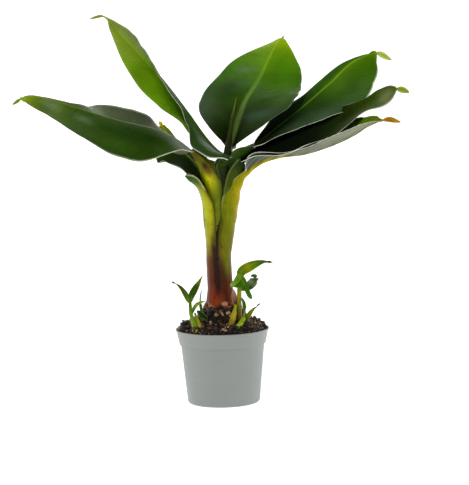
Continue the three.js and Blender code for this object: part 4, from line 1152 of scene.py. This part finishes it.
def soil_height(x, y):
    """Height of the soil: a mound for the stem, a shoulder, and a fall to the pot's wall."""
    radius = np.hypot(x, y)
    mound = 1 - smooth((radius - MOUND_FLAT_RADIUS) / (MOUND_FOOT_RADIUS - MOUND_FLAT_RADIUS))
    rim = smooth((radius - SOIL_EDGE_RADIUS + SOIL_SHOULDER_WIDTH) / SOIL_SHOULDER_WIDTH)
    lumps = np.sin(0.9 * x + 1.1 * y + 0.4) + 0.6 * np.sin(1.7 * x - 1.4 * y + 1.3)
    fine = 0.35 * np.sin(3.1 * x + 1.9 * y) * np.sin(2.3 * y - 2.9 * x + 1)
    base = mix(SOIL_SHOULDER_HEIGHT, SOIL_EDGE_HEIGHT, rim)
    level = mix(base + (0.8 * lumps + fine) * (1 - rim), MOUND_HEIGHT - 0.8 + 0.3 * lumps, mound)
    uneven = 1 + 0.3 * np.sin(3 * np.arctan2(y, x) + 0.6) + 0.2 * np.sin(7 * np.arctan2(y, x))
    return level + HEAP_HEIGHT * uneven * np.exp(-((radius - HEAP_RADIUS) / HEAP_SPREAD) ** 2)


def add_soil(material):
    """The soil's body: a rough heap over a plain plug inside the pot."""
    foot = POT_FOOT_RADIUS - POT_WALL - SOIL_GAP
    neck = POT_NECK_RADIUS - POT_WALL - SOIL_GAP
    floor = POT_FLOOR + 0.3
    top = [(radius, 0) for radius in np.linspace(0, SOIL_EDGE_RADIUS, SOIL_ROWS + 1)[1:]]
    walls = [(SOIL_EDGE_RADIUS, SOIL_EDGE_HEIGHT - 1.9), (neck + 1.2, POT_BAND_FOOT + 2.0),
             (neck, POT_BAND_FOOT), (foot, floor)]
    rings = rings_of(top + walls, SOIL_SIDES)
    heap = rings[:SOIL_ROWS]
    heap[..., 2] = soil_height(heap[..., 0], heap[..., 1])
    points, blocks = capped(rings, (0, 0, soil_height(0, 0)), (0, 0, floor))
    add_mesh("soil_heap", points, blocks, material, "soil", "soil")


def icosphere(level):
    """Points and triangles of a sphere cut from an icosahedron."""
    golden = (1 + 5 ** 0.5) / 2
    points = [(-1, golden, 0), (1, golden, 0), (-1, -golden, 0), (1, -golden, 0), (0, -1, golden),
              (0, 1, golden), (0, -1, -golden), (0, 1, -golden), (golden, 0, -1), (golden, 0, 1),
              (-golden, 0, -1), (-golden, 0, 1)]
    faces = [(0, 11, 5), (0, 5, 1), (0, 1, 7), (0, 7, 10), (0, 10, 11), (1, 5, 9), (5, 11, 4), (11, 10, 2),
             (10, 7, 6), (7, 1, 8), (3, 9, 4), (3, 4, 2), (3, 2, 6), (3, 6, 8), (3, 8, 9), (4, 9, 5),
             (2, 4, 11), (6, 2, 10), (8, 6, 7), (9, 8, 1)]
    points = [np.array(point) / np.linalg.norm(point) for point in points]
    for _ in range(level):
        middles = {}
        finer = []

        def middle(a, b):
            key = (min(a, b), max(a, b))
            if key not in middles:
                point = points[a] + points[b]
                middles[key] = len(points)
                points.append(point / np.linalg.norm(point))
            return middles[key]
        for a, b, c in faces:
            ab, bc, ca = middle(a, b), middle(b, c), middle(c, a)
            finer += [(a, ab, ca), (b, bc, ab), (c, ca, bc), (ab, bc, ca)]
        faces = finer
    return np.array(points), np.array(faces)


def repeated(triangles, count, step):
    """A lump's triangles for each of many lumps, whose points follow one another."""
    return np.concatenate([triangles + k * step for k in range(count)])


def scattered(rng, count):
    """Random places on the soil round the stem."""
    radius = np.sqrt(rng.uniform(LITTER_INNER_RADIUS ** 2, LITTER_OUTER_RADIUS ** 2, count))
    angle = rng.uniform(0, 2 * np.pi, count)
    x, y = radius * np.cos(angle), radius * np.sin(angle)
    return np.stack([x, y, soil_height(x, y)], -1)


def add_crumbs(name, rng, places, sizes, shape, material):
    """Many lumps joined in one mesh: rough spheres of random size, stretched by shape and turned."""
    sphere, triangles = icosphere(1)
    lumps = []
    for place, size in zip(places, sizes):
        rough = sphere * (1 + rng.normal(0, 0.16, (len(sphere), 1)))
        stretch = size * np.array(shape) * rng.uniform(0.7, 1.3, 3)
        turn = np.linalg.qr(rng.normal(size=(3, 3)))[0]
        turn[0] *= np.sign(np.linalg.det(turn))
        lumps.append((rough * stretch) @ turn + place)
    faces = repeated(triangles, len(lumps), len(sphere))
    add_mesh(name, np.vstack(lumps), [faces], material, "soil")


def add_litter():
    """Crumbs of peat and bark, with pale fibres among them."""
    rng = np.random.default_rng(LITTER_SEED)
    for name, count, size, shape, dark, light, lift in LITTER:
        places = scattered(rng, count)
        sizes = size * rng.lognormal(0, 0.35, count)
        places[:, 2] += lift * sizes
        add_crumbs(name, rng, places, sizes, shape, earth_material(name, dark, light, LITTER_ROUGHNESS))
    places = scattered(rng, FIBRE_COUNT)
    places[:, 2] += FIBRE_LIFT
    sizes = rng.uniform(0.5, 1.3, FIBRE_COUNT)
    add_crumbs("peat_fibres", rng, places, sizes, FIBRE_SHAPE, earth_material("fibres", *FIBRE_COLOURS))


def add_knobs(material):
    """Rough knobs on the foot of the false stem, with painted shade on their undersides."""
    rng = np.random.default_rng(KNOB_SEED)
    sphere, triangles = icosphere(3)
    lumps, tints = [], []
    for turn, reach, height, size, code in KNOBS:
        angle = math.radians(turn)
        coarse, fine = rng.normal(size=3), rng.normal(size=3)
        lump = 1 + 0.2 * np.sin(3 * sphere @ coarse) + 0.1 * np.sin(7 * sphere @ fine)
        lump = lump[:, None] * rng.uniform(0.65, 1.35, 3)
        place = (reach * math.cos(angle), STEM_DEPTH_SHARE * reach * math.sin(angle), height)
        lumps.append(sphere * lump * size + place)
        # Painted shade: each knob darkens towards its underside.
        painted_top_light = smooth(0.6 + 0.6 * sphere[:, 2])[:, None]
        tints.append(mix(0.35 * linear(code), linear(code), painted_top_light))
    points = np.vstack(lumps)
    faces = repeated(triangles, len(lumps), len(sphere))
    add_mesh("foot_knobs", points, [faces], material, "stem", None, np.vstack(tints), points)


def add_camera():
    """The photograph's camera, rolled as it was held."""
    place, target = Vector(CAMERA_PLACE) * MM, Vector(CAMERA_TARGET) * MM
    forward = (target - place).normalized()
    right = forward.cross(Vector((0, 0, 1))).normalized()
    up = right.cross(forward)
    across = right * math.cos(CAMERA_ROLL) + up * math.sin(CAMERA_ROLL)
    upright = up * math.cos(CAMERA_ROLL) - right * math.sin(CAMERA_ROLL)
    camera = bpy.data.objects.new("camera", bpy.data.cameras.new("camera"))
    turned = Matrix((across, upright, -forward)).transposed().to_4x4()
    camera.matrix_world = Matrix.Translation(place) @ turned
    camera.data.sensor_fit = "HORIZONTAL"
    camera.data.sensor_width = SENSOR_WIDTH
    camera.data.lens = FOCAL_PIXELS / FRAME_WIDTH * SENSOR_WIDTH
    bpy.context.scene.collection.objects.link(camera)
    bpy.context.scene.camera = camera


def add_lamp(name, place, size, power):
    """A soft rectangular lamp, aimed at the plant."""
    lamp = bpy.data.lights.new(name, "AREA")
    lamp.shape = "RECTANGLE"
    lamp.size, lamp.size_y = size
    lamp.energy = power
    light = bpy.data.objects.new(name, lamp)
    light.location = place
    direction = Vector(LAMP_TARGET) - light.location
    light.rotation_euler = direction.to_track_quat("-Z", "Y").to_euler()
    bpy.context.scene.collection.objects.link(light)


def add_floor():
    """A pale floor that curves up into a round wall, which glows towards its far side."""
    profile = [(0.001, 0.0), (FLOOR_RADIUS, 0.0)]
    for step in range(1, BEND_STEPS + 1):
        turn = math.pi / 2 * step / BEND_STEPS
        profile.append((FLOOR_RADIUS + FLOOR_BEND * math.sin(turn), FLOOR_BEND * (1 - math.cos(turn))))
    profile.append((FLOOR_RADIUS + FLOOR_BEND, WALL_TOP))
    rings = rings_of(profile, FLOOR_SIDES)
    faces = grid_faces(len(profile), FLOOR_SIDES, closed=True)[:, ::-1]
    shader = Shader("studio_white", Roughness=0.9, Specular_IOR_Level=0.0,
                    Base_Color=(0.62, 0.62, 0.62, 1), Emission_Color=(1, 1, 1, 1))
    depth = shader.part(shader.places(), "Y")
    shader.connect("Emission Strength", shader.remap(depth, 0.03, 0.85, -0.8, -0.15))
    floor = new_piece("studio_floor", rings.reshape(-1, 3), [faces], shader.material)


def add_surround():
    """A faint white surround, and the view's plain tones."""
    world = bpy.data.worlds.new("studio")
    world.use_nodes = True
    world.node_tree.nodes["Background"].inputs["Color"].default_value = (1, 1, 1, 1)
    world.node_tree.nodes["Background"].inputs["Strength"].default_value = 0.1
    bpy.context.scene.world = world
    bpy.context.scene.view_settings.view_transform = "Standard"


def main():
    """Builds the studio, then the pot, soil, stem, stalks, leaves and shoots."""
    add_camera()
    add_floor()
    add_surround()
    for lamp in LAMPS:
        add_lamp(*lamp)
    finishes = {name: leaf_material(name, *values) for name, values in LEAF_FINISHES.items()}
    stalk = stalk_material()
    add_pot(pot_material())
    add_soil(earth_material("soil", *SOIL_COLOURS))
    add_litter()
    add_stem(stalk)
    add_knobs(stalk)
    for name, spec in STALKS.items():
        add_stalk(name, spec, stalk)
    add_sheath(stalk)
    for seed, (name, spec) in enumerate(LEAVES.items(), 1):
        add_leaf(name, spec, finishes[spec["finish"]], seed)
    add_spear(stalk)
    for name, spec in SHOOT_STEMS.items():
        add_shoot_stem(name, spec, stalk)
    for seed, (name, spec) in enumerate(SHOOT_LEAVES.items(), 1):
        add_shoot_leaf(name, spec, finishes["soft"], seed)


main()
